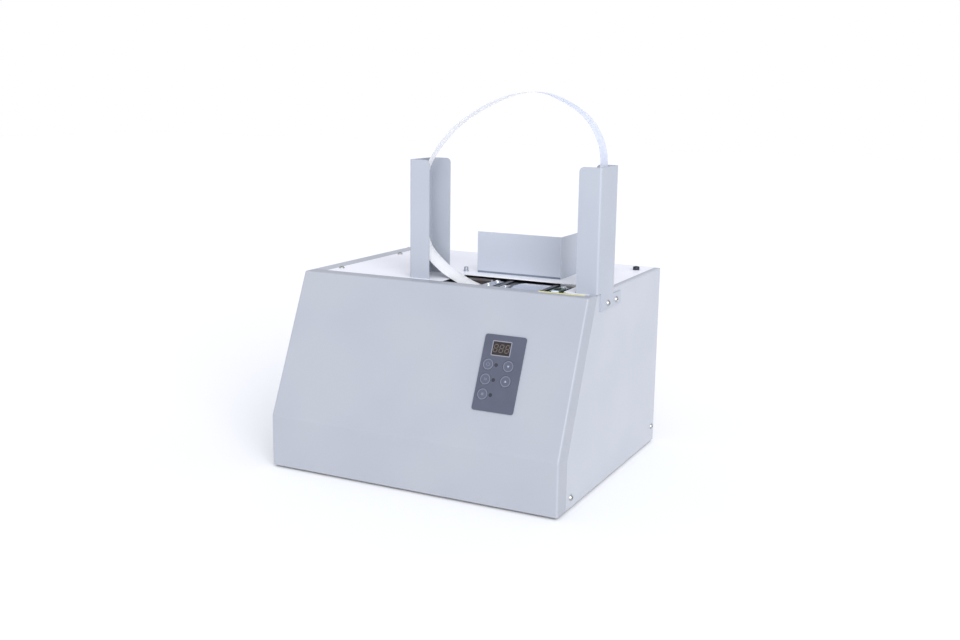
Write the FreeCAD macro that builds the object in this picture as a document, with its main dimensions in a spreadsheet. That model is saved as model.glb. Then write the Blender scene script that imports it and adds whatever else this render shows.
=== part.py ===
import FreeCAD
import Part
import Sketcher
import math
import os

# Banknote strapping machine on a counter: a bent sheet housing, two upright channels that hold a
# paper strap open over the table, and the strapping head and paper reel inside.
# X runs to the right, Y to the back, Z up. The origin is the middle of the footprint on the counter.
# All lengths are millimetres.

doc = FreeCAD.newDocument("StrappingMachine")

SIZES = (
    # Housing
    ("body_width", 400, "width over the side panels"),
    ("body_depth", 348, "depth from the front cover to the rear panel"),
    ("body_height", 244, "height of the covers, from their lower edge to the table"),
    ("foot_gap", 3, "height of the covers' lower edge over the counter"),
    ("knee_height", 66, "height of the upright part of the front cover"),
    ("slant_run", 78.5, "how far the slanted front leans back"),
    ("sheet", 1.5, "thickness of the steel sheet"),
    ("bend", 2.5, "outer radius of the sheet's bends"),
    ("knee_round", 8, "outer radius of the front cover's knee"),
    ("overrun", 5, "how far a cutting tool passes the material"),
    ("match", 0.01, "how close two corners are to count as one"),
    ("flange_width", 25, "side flange of the front cover"),
    ("seam", 0.5, "gap between two panels"),
    ("lip_back", 97, "rear edge of the front cover's lip, from the front"),
    ("left_margin", 22, "top flange of the left panel"),
    ("right_margin", 8, "top flange of the right panel"),
    ("ledge", 16, "ledge of a side panel under the table plate"),
    ("rear_flange", 14, "rear flange of a side panel"),
    ("pan_lift", 9, "underside of the base pan over the counter"),
    ("pan_wall", 30, "height of the base pan's walls"),
    ("layer_gap", 0.2, "gap between two layers of sheet"),
    # Feet
    ("foot_radius", 12, "rubber foot at the pan"),
    ("foot_tip_radius", 10, "rubber foot at the counter"),
    ("foot_inset", 40, "centre of a foot from the panel beside it"),
    # Slots for air
    ("slot_length", 34, "air slot"),
    ("slot_width", 4, "air slot"),
    ("slot_pitch", 10, "step from one air slot to the next"),
    ("rear_slots_height", 120, "lowest air slot in the rear panel over the counter"),
    ("rear_slots_side", 70, "middle of the rear air slots from the middle"),
    ("slot_count", 8, "air slots in a row"),
    ("pan_slots_front", 18, "first air slot in the pan, from the front"),
    # Table opening
    ("opening_left", 8, "left edge of the table opening, left of the middle"),
    ("opening_off_right", 43, "right edge of the table opening from the right panel"),
    ("opening_back", 165, "rear edge of the table opening, from the front"),
    ("opening_corner", 8, "cut-off corner of the table opening"),
    # Strap
    ("strap_from_front", 131.5, "middle of the strap from the front"),
    ("strap_width", 25, "paper strap"),
    ("strap_thick", 0.6, "paper strap"),
    ("strap_off_web", 8.4, "strap in the right channel from the right panel's face"),
    ("slot_reach", 6, "slot for the strap in the table, left of the strap"),
    ("strap_off_left", 1.9, "strap in the left channel from its web"),
    ("arch_rise", 85.3, "free arch of the strap over the uprights"),
    ("tail_short", 7, "end of the strap's tail, short of its guide's right end"),
    ("feed_straight", 15, "straight strap beyond the feed rollers and the table"),
    # Uprights
    ("upright_height", 150, "uprights over the table"),
    ("channel_width", 57, "web of an upright"),
    ("channel_wall", 26.5, "walls of an upright over its web"),
    ("channel_corner", 6, "round of the free top corners"),
    ("left_web", 55, "outer face of the left web, left of the middle"),
    ("tab_drop", 22, "how far the right upright's tab hangs below the table"),
    ("tab_front", 115, "front edge of that tab, from the front"),
    ("tab_back", 185, "rear edge of that tab, from the front"),
    ("tab_shoulder", 6, "rear part of the tab below the table"),
    ("tab_screw_drop", 15, "screws of the tab below the table"),
    ("tab_screw_front", 139.6, "first screw of the tab from the front"),
    ("tab_screw_step", 29, "second screw of the tab behind the first"),
    ("left_tab_drop", 42, "how far the left upright's tab reaches below the table"),
    ("left_tab_width", 36, "tab of the left upright"),
    ("left_tab_screw_drop", 34, "screws of the left tab below the table"),
    ("left_tab_screw_step", 20, "screws of the left tab from each other"),
    # Stack stop
    ("stop_left", 0, "left edge of the stack stop from the middle"),
    ("stop_width", 119.5, "front plate of the stack stop"),
    ("stop_from_front", 187, "front plate of the stack stop, from the front"),
    ("stop_height", 54, "stack stop over the table"),
    ("stop_return", 58, "side plate of the stack stop"),
    ("stop_foot", 16, "foot flange of the stack stop"),
    # Trim and pins on the table
    ("trim_off_right", 10, "right end of the yellow edge trim from the right panel"),
    ("trim_length", 60, "yellow edge trim"),
    ("trim_width", 6, "yellow edge trim"),
    ("trim_thick", 0.8, "yellow edge trim"),
    ("pin_left", 16.3, "pin on the table, left of the middle"),
    ("pin_from_front", 186, "pin on the table, from the front"),
    ("pin_radius", 3, "pin on the table"),
    ("pin_height", 6, "pin on the table"),
    ("stud_off_right", 23.5, "dark stud on the table, from the right panel"),
    ("stud_off_back", 32.5, "dark stud on the table, from the rear panel"),
    ("stud_radius", 4.5, "dark stud on the table"),
    ("stud_height", 5, "dark stud on the table"),
    # Screws
    ("screw_head", 4, "radius of a panel screw's head"),
    ("screw_head_thick", 3, "height of a panel screw's head"),
    ("screw_shank", 2, "radius of a panel screw's shank"),
    ("screw_reach", 8, "length of a panel screw's shank"),
    ("hole_gap", 0.2, "hole over its screw, in the radius"),
    ("table_screw_off", 29, "table screws from the left panel"),
    ("table_screw_front", 122, "front left table screw, from the front"),
    ("table_screw_rear", 73, "rear left table screw, from the rear panel"),
    ("lip_screw_off", 27.5, "small screw by the right upright, from the right panel"),
    ("lip_screw_front", 108, "small screw by the right upright, from the front"),
    ("lip_screw_radius", 2, "head of that small screw"),
    ("side_screw_front", 40, "front side screw, from the front"),
    ("side_screw_low", 12.3, "front side screw over the covers' lower edge"),
    ("side_screw_rear", 10, "rear side screw, from the rear panel"),
    ("side_screw_high", 20.4, "rear side screw over the covers' lower edge"),
    ("rear_screw_inset", 7, "rear panel screws from its edges"),
    # Control panel on the slanted front, measured up the slant from the knee
    ("panel_left", 79, "left edge of the control membrane"),
    ("panel_low", 46.3, "lower edge of the control membrane"),
    ("panel_width", 54, "control membrane"),
    ("panel_height", 93, "control membrane"),
    ("panel_thick", 1.5, "control membrane"),
    ("panel_corner", 3, "round of the membrane's corners"),
    ("window_left", 91.5, "left edge of the display window"),
    ("window_low", 114.8, "lower edge of the display window"),
    ("window_width", 22.8, "display window"),
    ("window_height", 16, "display window"),
    ("window_thick", 1, "display window"),
    ("key_radius", 7, "membrane key"),
    ("key_floor", 0.2, "membrane key over the sheet at full travel"),
    ("key_travel", 0.5, "travel of a membrane key"),
    ("key_gap", 0.3, "gap round a membrane key"),
    ("key_left", 89.5, "left column of keys"),
    ("key_right", 116, "right column of keys"),
    ("key_low", 66.1, "lowest key"),
    ("key_step", 18.2, "step from key to key"),
    ("lamp_left", 100.2, "column of lamps"),
    ("lamp_radius", 1.8, "lamp"),
    ("board_gap", 10, "control board behind the sheet"),
    ("board_thick", 1.6, "control board"),
    ("board_margin", 4, "membrane's edge outside the board"),
    ("standoff_radius", 3, "standoff of the board"),
    ("standoff_inset", 5, "standoff from the board's edges"),
    ("module_margin", 0.6, "cut-out round the display"),
    # Strapping head
    ("head_left", 53.5, "left face of the left frame plate, left of the middle"),
    ("feed_room", 42, "left face of the right frame plate from the right panel"),
    ("plate_thick", 5, "frame plate"),
    ("plate_front", 96, "front edge of the frame plates, from the front"),
    ("left_plate_back", 204, "rear edge of the left frame plate, from the front"),
    ("right_plate_back", 148, "rear edge of the right frame plate, from the front"),
    ("plate_drop", 21, "top of the frame plates below the table"),
    ("plate_foot", 20, "foot flange of a frame plate"),
    ("foot_screw_inset", 12, "foot screws from the plate's edges"),
    ("run_low", 22, "lower edge of the strap's window over the counter"),
    ("run_high", 46, "upper edge of the strap's window over the counter"),
    ("run_margin", 4, "strap's window beside the strap"),
    ("rod_radius", 4, "tie rod"),
    ("rod_inset", 9, "tie rods from the plates' front edge"),
    ("rod_low", 60, "lower tie rods over the counter"),
    ("rod_high", 130, "upper tie rod over the counter"),
    ("rod_back", 142, "rear tie rod, from the front"),
    # Guide block and presses
    ("block_drop", 17.5, "top of the guide block below the table"),
    ("block_height", 22, "guide block"),
    ("block_depth", 38, "guide block"),
    ("press_depth", 26, "press"),
    ("side_press_width", 16, "left and right press"),
    ("centre_press_width", 28, "centre press"),
    ("press_gap", 0.15, "running gap of a press in its guide"),
    ("press_rise", 4, "top of a press over the guide block at rest"),
    ("press_travel", 5.4, "travel of a press"),
    ("follower_thick", 4, "follower foot of a press"),
    ("follower_margin", 1.5, "follower foot beside the press"),
    ("follower_gap", 1.2, "clearance over the follower foot at full travel"),
    ("follower_neck", 0.3, "gap between the highest lobe and a follower foot"),
    ("serration_pitch", 3, "grooves in the presses' gripping faces"),
    ("serration_depth", 0.8, "grooves in the presses' gripping faces"),
    ("cutter_thick", 1.2, "cutter blade"),
    ("cutter_height", 7, "cutter blade"),
    ("cutter_rise", 0.5, "cutter blade over its press"),
    ("cutter_inset", 3, "cutter blade from the press's right side"),
    # Grip bridges, anvil, heater
    ("bridge_width", 14, "grip bridge"),
    ("bridge_leg", 4, "leg of a grip bridge"),
    ("bridge_height", 14.4, "grip bridge over the guide block"),
    ("bridge_bar", 4, "bar of a grip bridge"),
    ("rail_clear", 3, "anvil rail from the grip bridge beside it"),
    ("anvil_length", 64, "sliding anvil plate"),
    ("anvil_thick", 2, "sliding anvil plate"),
    ("anvil_lift", 11, "underside of the anvil over the guide block"),
    ("anvil_travel", 30, "travel of the anvil"),
    ("anvil_grip", 2, "anvil's edge in its rail"),
    ("rail_width", 6, "anvil rail"),
    ("rail_height", 14.5, "anvil rail"),
    ("rail_gap", 0.15, "running gap of the anvil in its rails"),
    ("shelf_thick", 2, "heater shelf behind the guide block"),
    ("shelf_length", 62, "heater shelf behind the guide block"),
    ("heater_width", 30, "heater block"),
    ("heater_length", 28, "heater block"),
    ("heater_stop", 2, "heater block behind the centre press at full travel"),
    ("blade_width", 18, "heater blade"),
    ("blade_length", 30, "heater blade"),
    ("blade_thick", 1, "heater blade"),
    ("blade_gap", 0.3, "heater blade under the anvil"),
    ("blade_rest", 2.5, "heater blade behind the centre press at rest"),
    ("heater_travel", 24, "travel of the heater"),
    ("chute_clear", 5, "dark strap guide from the left grip bridge"),
    ("chute_width", 36, "dark strap guide"),
    ("chute_floor", 5, "floor of the dark strap guide"),
    ("chute_wall", 17, "back wall of the dark strap guide"),
    ("chute_height", 14, "back wall of the dark strap guide"),
    # Camshaft
    ("shaft_radius", 6, "camshaft"),
    ("running_gap", 0.05, "running fit of a shaft in its bush"),
    ("bush_radius", 9, "camshaft bush"),
    ("bush_collar", 12, "collar of a camshaft bush"),
    ("bush_collar_thick", 2, "collar of a camshaft bush"),
    ("cam_base", 12, "base circle of a cam"),
    ("cam_nose", 7, "nose circle of a cam"),
    ("cam_reach", 18, "highest point of a cam from the shaft's axis"),
    ("cam_width", 8, "cam"),
    ("cam_hub_radius", 10, "hub of a cam"),
    ("cam_hub_width", 14, "hub of a cam"),
    # Gears and drive
    ("gear_module", 1.5, "module of the gear teeth"),
    ("gear_teeth", 48, "teeth of the cam gear"),
    ("pinion_teeth", 16, "teeth of the motor pinion"),
    ("gear_width", 8, "cam gear"),
    ("gear_clear", 5.5, "cam gear from the left frame plate"),
    ("gear_web", 3, "web of the cam gear"),
    ("gear_rim", 4.5, "rim of the cam gear under its teeth"),
    ("gear_hub", 11, "hub of the cam gear"),
    ("gear_hole", 5, "round holes in the cam gear's web"),
    ("gear_holes", 6, "number of those holes"),
    ("backlash", 0.15, "play between two tooth flanks"),
    ("pressure_angle", 20, "pressure angle of the teeth, in degrees"),
    ("dedendum", 1.25, "root of a tooth below the pitch circle, in modules"),
    ("motor_drop", 24, "motor shaft below the camshaft"),
    ("pinion_shaft", 5, "radius of the pinion's shaft"),
    ("shaft_hole_gap", 2, "hole in the frame plate round the pinion's shaft"),
    ("gearbox_radius", 27, "gearbox of the drive motor"),
    ("gearbox_length", 34, "gearbox of the drive motor"),
    ("motor_radius", 25, "can of the drive motor"),
    ("motor_length", 62, "can of the drive motor"),
    ("motor_cap_radius", 9, "rear bearing cap of the drive motor"),
    ("motor_cap_length", 5, "rear bearing cap of the drive motor"),
    ("pinion_depth", 12, "pinion's shaft inside the gearbox"),
    # Feed
    ("run_off_right", 16.7, "strap between the feed rollers, from the right panel"),
    ("feed_drop", 57, "feed rollers below the table"),
    ("feed_radius", 9, "feed roller"),
    ("pinch_radius", 6.5, "pinch roller"),
    ("roller_gap", 0.3, "gap between a roller and the strap"),
    ("roller_overlap", 2, "roller beyond the strap's edge"),
    ("feed_shaft", 3, "radius of the feed roller's shaft"),
    ("pinch_pin", 2, "radius of the pinch roller's pin"),
    ("ear_thick", 2, "bearing ear of the feed rollers"),
    ("ear_gap", 0.4, "gap between a roller and its ear"),
    ("ear_height", 36, "feed bracket"),
    ("ear_reach", 34, "feed bracket from the frame plate"),
    ("ear_low", 18, "feed bracket below the rollers' axes"),
    ("ear_foot", 16, "foot of the feed bracket on the frame plate"),
    ("feed_motor_radius", 17, "feed motor"),
    ("feed_motor_length", 50, "feed motor"),
    ("idler_radius", 10, "idler roller"),
    ("idler_pin", 3, "radius of the idler's pin"),
    ("idler_post", 14, "width of an idler post"),
    ("idler_post_top", 9, "idler post over the idler's axis"),
    # Reel
    ("reel_wall_gap", 9, "reel from the left panel's sheet"),
    ("reel_gear_gap", 1, "reel from the cam gear"),
    ("run_lift", 21.4, "underside of the strap over the base pan"),
    ("core_radius", 20, "core of the paper roll"),
    ("flange_over_roll", 4, "flange of the reel over the paper roll"),
    ("reel_flange_thick", 2, "flange of the reel"),
    ("reel_side_gap", 0.3, "paper roll beside a reel flange"),
    ("spindle_radius", 6, "reel spindle"),
    ("spindle_head", 9, "head of the reel spindle"),
    ("spindle_head_thick", 3, "head of the reel spindle"),
    ("reel_window_edge", 7.5, "round holes in the reel's flanges, from core and edge"),
    ("reel_windows", 4, "number of those holes"),
    ("stand_thick", 4, "reel stand"),
    ("stand_width", 60, "reel stand at its foot"),
    ("stand_top", 14, "reel stand over the spindle's axis"),
    ("stand_gap", 0.5, "reel beside its stand"),
    ("strap_off_roll", 0.5, "strap below the paper roll"),
    # Power
    ("transformer_left", 40, "transformer, right of the middle"),
    ("transformer_width", 76, "transformer core"),
    ("transformer_depth", 40, "transformer core"),
    ("transformer_height", 64, "transformer core"),
    ("transformer_off_back", 58, "transformer core from the rear panel"),
    ("core_leg", 13, "legs of the transformer core"),
    ("coil_bulge", 9, "winding beyond the core"),
    ("inlet_left", 120, "power inlet, right of the middle"),
    ("inlet_height", 50, "power inlet over the counter"),
    ("inlet_width", 50, "flange of the power inlet"),
    ("inlet_tall", 24, "flange of the power inlet"),
    ("inlet_flange", 2.5, "flange of the power inlet"),
    ("inlet_body_width", 27, "body of the power inlet"),
    ("inlet_body_tall", 20, "body of the power inlet"),
    ("inlet_depth", 18, "body of the power inlet"),
    ("inlet_mouth_width", 22, "socket of the power inlet"),
    ("inlet_mouth_tall", 15, "socket of the power inlet"),
    ("inlet_mouth_depth", 14, "socket of the power inlet"),
    ("contact_width", 2, "contact of the power inlet"),
    ("contact_tall", 4, "contact of the power inlet"),
    ("contact_step", 7, "contacts from each other"),
    ("switch_left", 70, "power switch, right of the middle"),
    ("switch_width", 15, "bezel of the power switch"),
    ("switch_tall", 21, "bezel of the power switch"),
    ("switch_flange", 2, "bezel of the power switch"),
    ("switch_depth", 16, "body of the power switch"),
    ("rocker_width", 9, "rocker"),
    ("rocker_tall", 14, "rocker"),
    ("rocker_gap", 0.4, "gap round the rocker"),
    ("rocker_rise", 2.2, "rocker's crests over the bezel"),
    ("rocker_tilt", 8, "tilt of the rocker at rest, in degrees"),
)


class Size:
    """A named size of the sheet, or a sum of such sizes: its value and its formula."""

    def __init__(self, value, formula):
        self.value = float(value)
        self.formula = formula

    def __add__(self, other):
        return Size(self.value + number(other), f"({self.formula} + {text(other)})")

    def __radd__(self, other):
        return Size(number(other) + self.value, f"({text(other)} + {self.formula})")

    def __sub__(self, other):
        return Size(self.value - number(other), f"({self.formula} - {text(other)})")

    def __rsub__(self, other):
        return Size(number(other) - self.value, f"({text(other)} - {self.formula})")

    def __mul__(self, other):
        return Size(self.value * number(other), f"({self.formula} * {text(other)})")

    def __rmul__(self, other):
        return Size(number(other) * self.value, f"({text(other)} * {self.formula})")

    def __truediv__(self, other):
        return Size(self.value / number(other), f"({self.formula} / {text(other)})")

    def __neg__(self):
        return Size(-self.value, f"(0 - {self.formula})")


def number(size):
    """The value of a size or of a plain number."""
    return size.value if isinstance(size, Size) else float(size)


def text(size):
    """The formula of a size or of a plain number."""
    return size.formula if isinstance(size, Size) else repr(size)


def root(size):
    """The square root of a size."""
    return Size(math.sqrt(number(size)), f"sqrt({text(size)})")


class Sizes:
    """The sheet of driving dimensions, each read by its name."""

    def __init__(self, rows):
        sheet = doc.addObject("Spreadsheet::Sheet", "Sizes")
        for line, (alias, value, note) in enumerate(rows, start=1):
            sheet.set(f"A{line}", alias)
            sheet.set(f"B{line}", str(value))
            sheet.set(f"C{line}", note)
            sheet.setAlias(f"B{line}", alias)
            setattr(self, alias, Size(value, f"Sizes.{alias}"))


S = Sizes(SIZES)
doc.recompute()

X = FreeCAD.Vector(1, 0, 0)
Y = FreeCAD.Vector(0, 1, 0)
Z = FreeCAD.Vector(0, 0, 1)
NODES = []

# Faces and heights that many pieces share
LEFT = -S.body_width / 2
RIGHT = S.body_width / 2
FRONT = -S.body_depth / 2
BACK = S.body_depth / 2
SKIRT = S.foot_gap
TABLE = S.foot_gap + S.body_height
KNEE = S.foot_gap + S.knee_height
RISE = S.body_height - S.knee_height
LEAN = S.slant_run / RISE
STRETCH = root(1 + LEAN * LEAN)
STRAP_Y = FRONT + S.strap_from_front
STRAP_FRONT = STRAP_Y - S.strap_width / 2
STRAP_BACK = STRAP_Y + S.strap_width / 2
PAN_TOP = S.pan_lift + S.sheet
OPENING_RIGHT = RIGHT - S.opening_off_right
HEAD_WEST = -S.head_left + S.plate_thick
HEAD_EAST = RIGHT - S.feed_room
RUN_X = RIGHT - S.run_off_right
RUN_Z = PAN_TOP + S.run_lift + S.strap_thick / 2
FEED_Z = TABLE - S.feed_drop


# Documents objects made from named sizes

def bind(item, path, size):
    """Drive one property of an object by a formula of the sheet."""
    item.setExpression(path, text(size))


def node(label, item):
    """Name a finished piece and keep it for export."""
    item.Label = label
    NODES.append(item)
    return item


def place(item, x=0, y=0, z=0):
    """Move an object to a place held by the sheet."""
    bind(item, "Placement.Base.x", x)
    bind(item, "Placement.Base.y", y)
    bind(item, "Placement.Base.z", z)
    return item


def box(name, x, y, z):
    """Block between two places along each axis."""
    block = doc.addObject("Part::Box", name)
    bind(block, "Length", x[1] - x[0])
    bind(block, "Width", y[1] - y[0])
    bind(block, "Height", z[1] - z[0])
    return place(block, x[0], y[0], z[0])


def rod(name, axis, radius, centre, span):
    """Round bar along an axis, centred at the other two coordinates, between two places."""
    bar = doc.addObject("Part::Cylinder", name)
    bind(bar, "Radius", radius)
    bind(bar, "Height", span[1] - span[0])
    if axis == X:
        bar.Placement = FreeCAD.Placement(FreeCAD.Vector(), FreeCAD.Rotation(Y, 90))
        return place(bar, span[0], centre[0], centre[1])
    if axis == Y:
        bar.Placement = FreeCAD.Placement(FreeCAD.Vector(), FreeCAD.Rotation(X, -90))
        return place(bar, centre[0], span[0], centre[1])
    return place(bar, centre[0], centre[1], span[0])


def cone(name, low_radius, high_radius, centre, span):
    """Upright frustum between two heights."""
    frustum = doc.addObject("Part::Cone", name)
    bind(frustum, "Radius1", low_radius)
    bind(frustum, "Radius2", high_radius)
    bind(frustum, "Height", span[1] - span[0])
    return place(frustum, centre[0], centre[1], span[0])


def fuse(name, parts):
    """One solid from parts that touch or overlap."""
    whole = doc.addObject("Part::MultiFuse", name)
    whole.Shapes = list(parts)
    return whole


def cut(name, base, tools):
    """A solid less its tools."""
    less = doc.addObject("Part::Cut", name)
    less.Base = base
    less.Tool = tools[0] if len(tools) == 1 else fuse(name + "_tools", tools)
    return less


def group(name, parts):
    """Several separate solids of one kind."""
    several = doc.addObject("Part::Compound", name)
    several.Links = list(parts)
    return several


def sleeve(name, axis, radii, centre, span):
    """Round tube between two places."""
    outer = rod(name + "_outer", axis, radii[0], centre, span)
    bore = rod(name + "_bore", axis, radii[1], centre, (span[0] - S.overrun, span[1] + S.overrun))
    return cut(name, outer, [bore])


class Folded:
    """A sheet or block body made of sketches on its own origin planes."""

    def __init__(self, label):
        self.body = doc.addObject("PartDesign::Body", label)
        self.label = label
        self.count = 0

    def sketch(self, role, offset=0):
        """An empty sketch on an origin plane, moved along the plane's normal."""
        self.count += 1
        page = self.body.newObject("Sketcher::SketchObject", f"{self.label}_sketch{self.count}")
        planes = [item for item in self.body.Origin.OriginFeatures if item.Role == role]
        page.AttachmentSupport = [(planes[0], "")]
        page.MapMode = "FlatFace"
        bind(page, "AttachmentOffset.Base.z", offset)
        return page

    def outline(self, page, points):
        """A closed outline, each corner held at two named distances from the origin."""
        first = page.GeometryCount
        corners = [FreeCAD.Vector(number(x), number(y), 0) for x, y in points]
        for index, corner in enumerate(corners):
            page.addGeometry(Part.LineSegment(corner, corners[(index + 1) % len(corners)]), False)
        for index in range(len(corners)):
            after = (index + 1) % len(corners)
            page.addConstraint(Sketcher.Constraint("Coincident", first + index, 2, first + after, 1))
        for index, (x, y) in enumerate(points):
            self.hold(page, "DistanceX", first + index, 1, x)
            self.hold(page, "DistanceY", first + index, 1, y)

    def rectangle(self, page, x, y):
        """A rectangle between two places along each axis of the sketch."""
        self.outline(page, [(x[0], y[0]), (x[1], y[0]), (x[1], y[1]), (x[0], y[1])])

    def circle(self, page, x, y, radius):
        """A circle held by its centre and radius."""
        ring = page.addGeometry(Part.Circle(FreeCAD.Vector(number(x), number(y), 0), Z,
                                            number(radius)), False)
        self.hold(page, "DistanceX", ring, 3, x)
        self.hold(page, "DistanceY", ring, 3, y)
        mark = page.addConstraint(Sketcher.Constraint("Radius", ring, number(radius)))
        bind(page, f"Constraints[{mark}]", radius)

    def hold(self, page, kind, geometry, point, size):
        """Tie one coordinate of a point to the sketch's origin."""
        if text(size) in ("0", "0.0"):
            axis = -2 if kind == "DistanceX" else -1
            page.addConstraint(Sketcher.Constraint("PointOnObject", geometry, point, axis))
            return
        mark = page.addConstraint(Sketcher.Constraint(kind, -1, 1, geometry, point, number(size)))
        bind(page, f"Constraints[{mark}]", size)

    def feature(self, kind, page, length, along):
        """A pad or pocket from a sketch, along the sketch's normal or against it."""
        item = self.body.newObject(f"PartDesign::{kind}", f"{self.label}_{kind.lower()}{self.count}")
        item.Profile = page
        bind(item, "Length", length)
        item.Reversed = (not along) if kind == "Pad" else along
        return item

    def pad(self, page, length, along=True):
        """Add material over a sketch."""
        return self.feature("Pad", page, length, along)

    def pocket(self, page, length, along=True):
        """Take material over a sketch."""
        return self.feature("Pocket", page, length, along)

    def fillet(self, feature, places, radius):
        """Round the edges of a feature that run along an axis through the given places."""
        doc.recompute()
        rounded = self.body.newObject("PartDesign::Fillet", f"{self.label}_fillet{self.count}")
        rounded.Base = (feature, edges_at(feature.Shape, places))
        bind(rounded, "Radius", radius)
        self.count += 1
        return rounded

    def close(self, last):
        """Close the body on its last feature."""
        self.body.Tip = last
        return self.body

    def finish(self, last):
        """Close the body on its last feature and keep it for export."""
        return node(self.label, self.close(last))


def edges_at(shape, places):
    """Names of the straight edges with both ends at a place, where None stands for any value."""
    names = []
    for where in places:
        for index, edge in enumerate(shape.Edges, start=1):
            ends = [vertex.Point for vertex in edge.Vertexes]
            if len(ends) == 2 and all(near(point, where) for point in ends):
                names.append(f"Edge{index}")
    return names


def near(point, where):
    """Whether a point lies at a place, in those coordinates that are given."""
    return all(goal is None or abs(value - number(goal)) < S.match.value
               for value, goal in zip((point.x, point.y, point.z), where))


def screw(name, axis, face, centre, sign, reach=None):
    """A round-headed screw whose head stands on a face, with its shank behind the face."""
    top = face + sign * S.screw_head_thick
    tip = face - sign * (S.screw_reach if reach is None else reach)
    cap = rod(name + "_head", axis, S.screw_head, centre, sorted((face, top), key=number))
    shank = rod(name + "_shank", axis, S.screw_shank, centre, sorted((tip, face), key=number))
    return fuse(name, [cap, shank])


# Places of the screws, as (first, second) coordinates across each screw's axis

SIDE_SCREWS = [(FRONT + S.side_screw_front, SKIRT + S.side_screw_low),
               (BACK - S.side_screw_rear, SKIRT + S.side_screw_high)]
TABLE_SCREWS = [(LEFT + S.table_screw_off, FRONT + S.table_screw_front),
                (LEFT + S.table_screw_off, BACK - S.table_screw_rear)]
TAB_SCREWS = [(FRONT + S.tab_screw_front, TABLE - S.tab_screw_drop),
              (FRONT + S.tab_screw_front + S.tab_screw_step, TABLE - S.tab_screw_drop)]
LEFT_TAB_SCREWS = [(STRAP_Y + side * S.left_tab_screw_step / 2, TABLE - S.left_tab_screw_drop)
                   for side in (-1, 1)]
REAR_SCREWS = [(side * (RIGHT - S.rear_screw_inset), height)
               for side in (-1, 1)
               for height in (SKIRT + S.rear_screw_inset + S.pan_lift,
                              (SKIRT + TABLE) / 2,
                              TABLE - S.rear_screw_inset - 2 * S.sheet)]
FOOT_SCREWS = [(x, FRONT + y)
               for x, rear in ((HEAD_WEST + S.plate_foot / 2, S.left_plate_back),
                               (HEAD_EAST - S.plate_foot / 2, S.right_plate_back))
               for y in (S.plate_front + S.foot_screw_inset, rear - S.foot_screw_inset)]


# Places on the slanted front: X, then up the slant from the knee, then out of the sheet

def on_slant(item, path="Placement"):
    """Lay a flat piece on the slant: its X stays, its Y runs up the slant, its Z points out."""
    tilt = math.degrees(math.atan2(RISE.value, S.slant_run.value))
    setattr(item, path, FreeCAD.Placement(FreeCAD.Vector(), FreeCAD.Rotation(X, tilt)))
    bind(item, path + ".Rotation.Angle", Size(tilt, f"atan({text(RISE / S.slant_run)})"))
    bind(item, path + ".Base.y", FRONT)
    bind(item, path + ".Base.z", KNEE)
    return item


WINDOW = ((S.window_left, S.window_left + S.window_width),
          (S.window_low, S.window_low + S.window_height))


# Slot beside the right upright, where the strap passes the table

STRAP_SLOT = ((RIGHT - S.strap_off_web - S.slot_reach, RIGHT - S.right_margin),
              (STRAP_FRONT - S.run_margin, STRAP_BACK + S.run_margin))


# Housing

def front_line(height, inset):
    """Y of the line that runs parallel behind the slanted front, at a height."""
    return FRONT + (height - KNEE) * LEAN + inset * STRETCH


def knee_of(inset):
    """Height at which the line behind the slant meets the line behind the upright part."""
    return KNEE + (inset - inset * STRETCH) / LEAN


def build_front_cover():
    """Slanted sheet cover with side flanges, a lip on the table and the display's cut-out."""
    cover = Folded("front_cover")
    inset = S.flange_width
    side = cover.sketch("YZ_Plane", LEFT)
    cover.outline(side, [(FRONT, SKIRT), (FRONT, KNEE), (front_line(TABLE, 0), TABLE),
                         (front_line(TABLE, inset), TABLE), (FRONT + inset, knee_of(inset)),
                         (FRONT + inset, SKIRT)])
    solid = cover.pad(side, S.body_width)
    solid = cover.fillet(solid, [(None, FRONT, KNEE)], S.knee_round)
    solid = cover.fillet(solid, [(None, front_line(TABLE, 0), TABLE)], S.bend)
    solid = cover.fillet(solid, [(edge, FRONT, None) for edge in (LEFT, RIGHT)], S.bend)
    room = cover.sketch("YZ_Plane", LEFT + S.sheet)
    deep = S.flange_width + S.overrun
    under = TABLE - S.sheet
    cover.outline(room, [(FRONT + S.sheet, SKIRT - S.overrun), (FRONT + S.sheet, knee_of(S.sheet)),
                         (front_line(under, S.sheet), under), (front_line(under, deep), under),
                         (FRONT + deep, knee_of(deep)), (FRONT + deep, SKIRT - S.overrun)])
    solid = cover.pocket(room, S.body_width - 2 * S.sheet)
    gap = cover.sketch("YZ_Plane", LEFT + S.sheet)
    cover.rectangle(gap, (FRONT + S.lip_back, front_line(TABLE, deep)),
                    (under - S.overrun, TABLE + S.overrun))
    solid = cover.pocket(gap, S.body_width - 2 * S.sheet)
    sight = cover.sketch("XY_Plane")
    on_slant(sight, "AttachmentOffset")
    cover.rectangle(sight, *WINDOW)
    return cover.finish(cover.pocket(sight, 2 * S.overrun, along=False))


def panel_profile(edge, inward, margin):
    """Section of a side panel: wall, top flange and stepped ledge, from outside to inside."""
    wall = edge + inward * S.sheet
    fold = edge + inward * margin
    return [(edge, SKIRT), (edge, TABLE), (fold, TABLE), (fold, TABLE - S.sheet),
            (fold + inward * S.ledge, TABLE - S.sheet),
            (fold + inward * S.ledge, TABLE - 2 * S.sheet),
            (fold - inward * S.sheet, TABLE - 2 * S.sheet),
            (fold - inward * S.sheet, TABLE - S.sheet), (wall, TABLE - S.sheet), (wall, SKIRT)]


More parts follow.
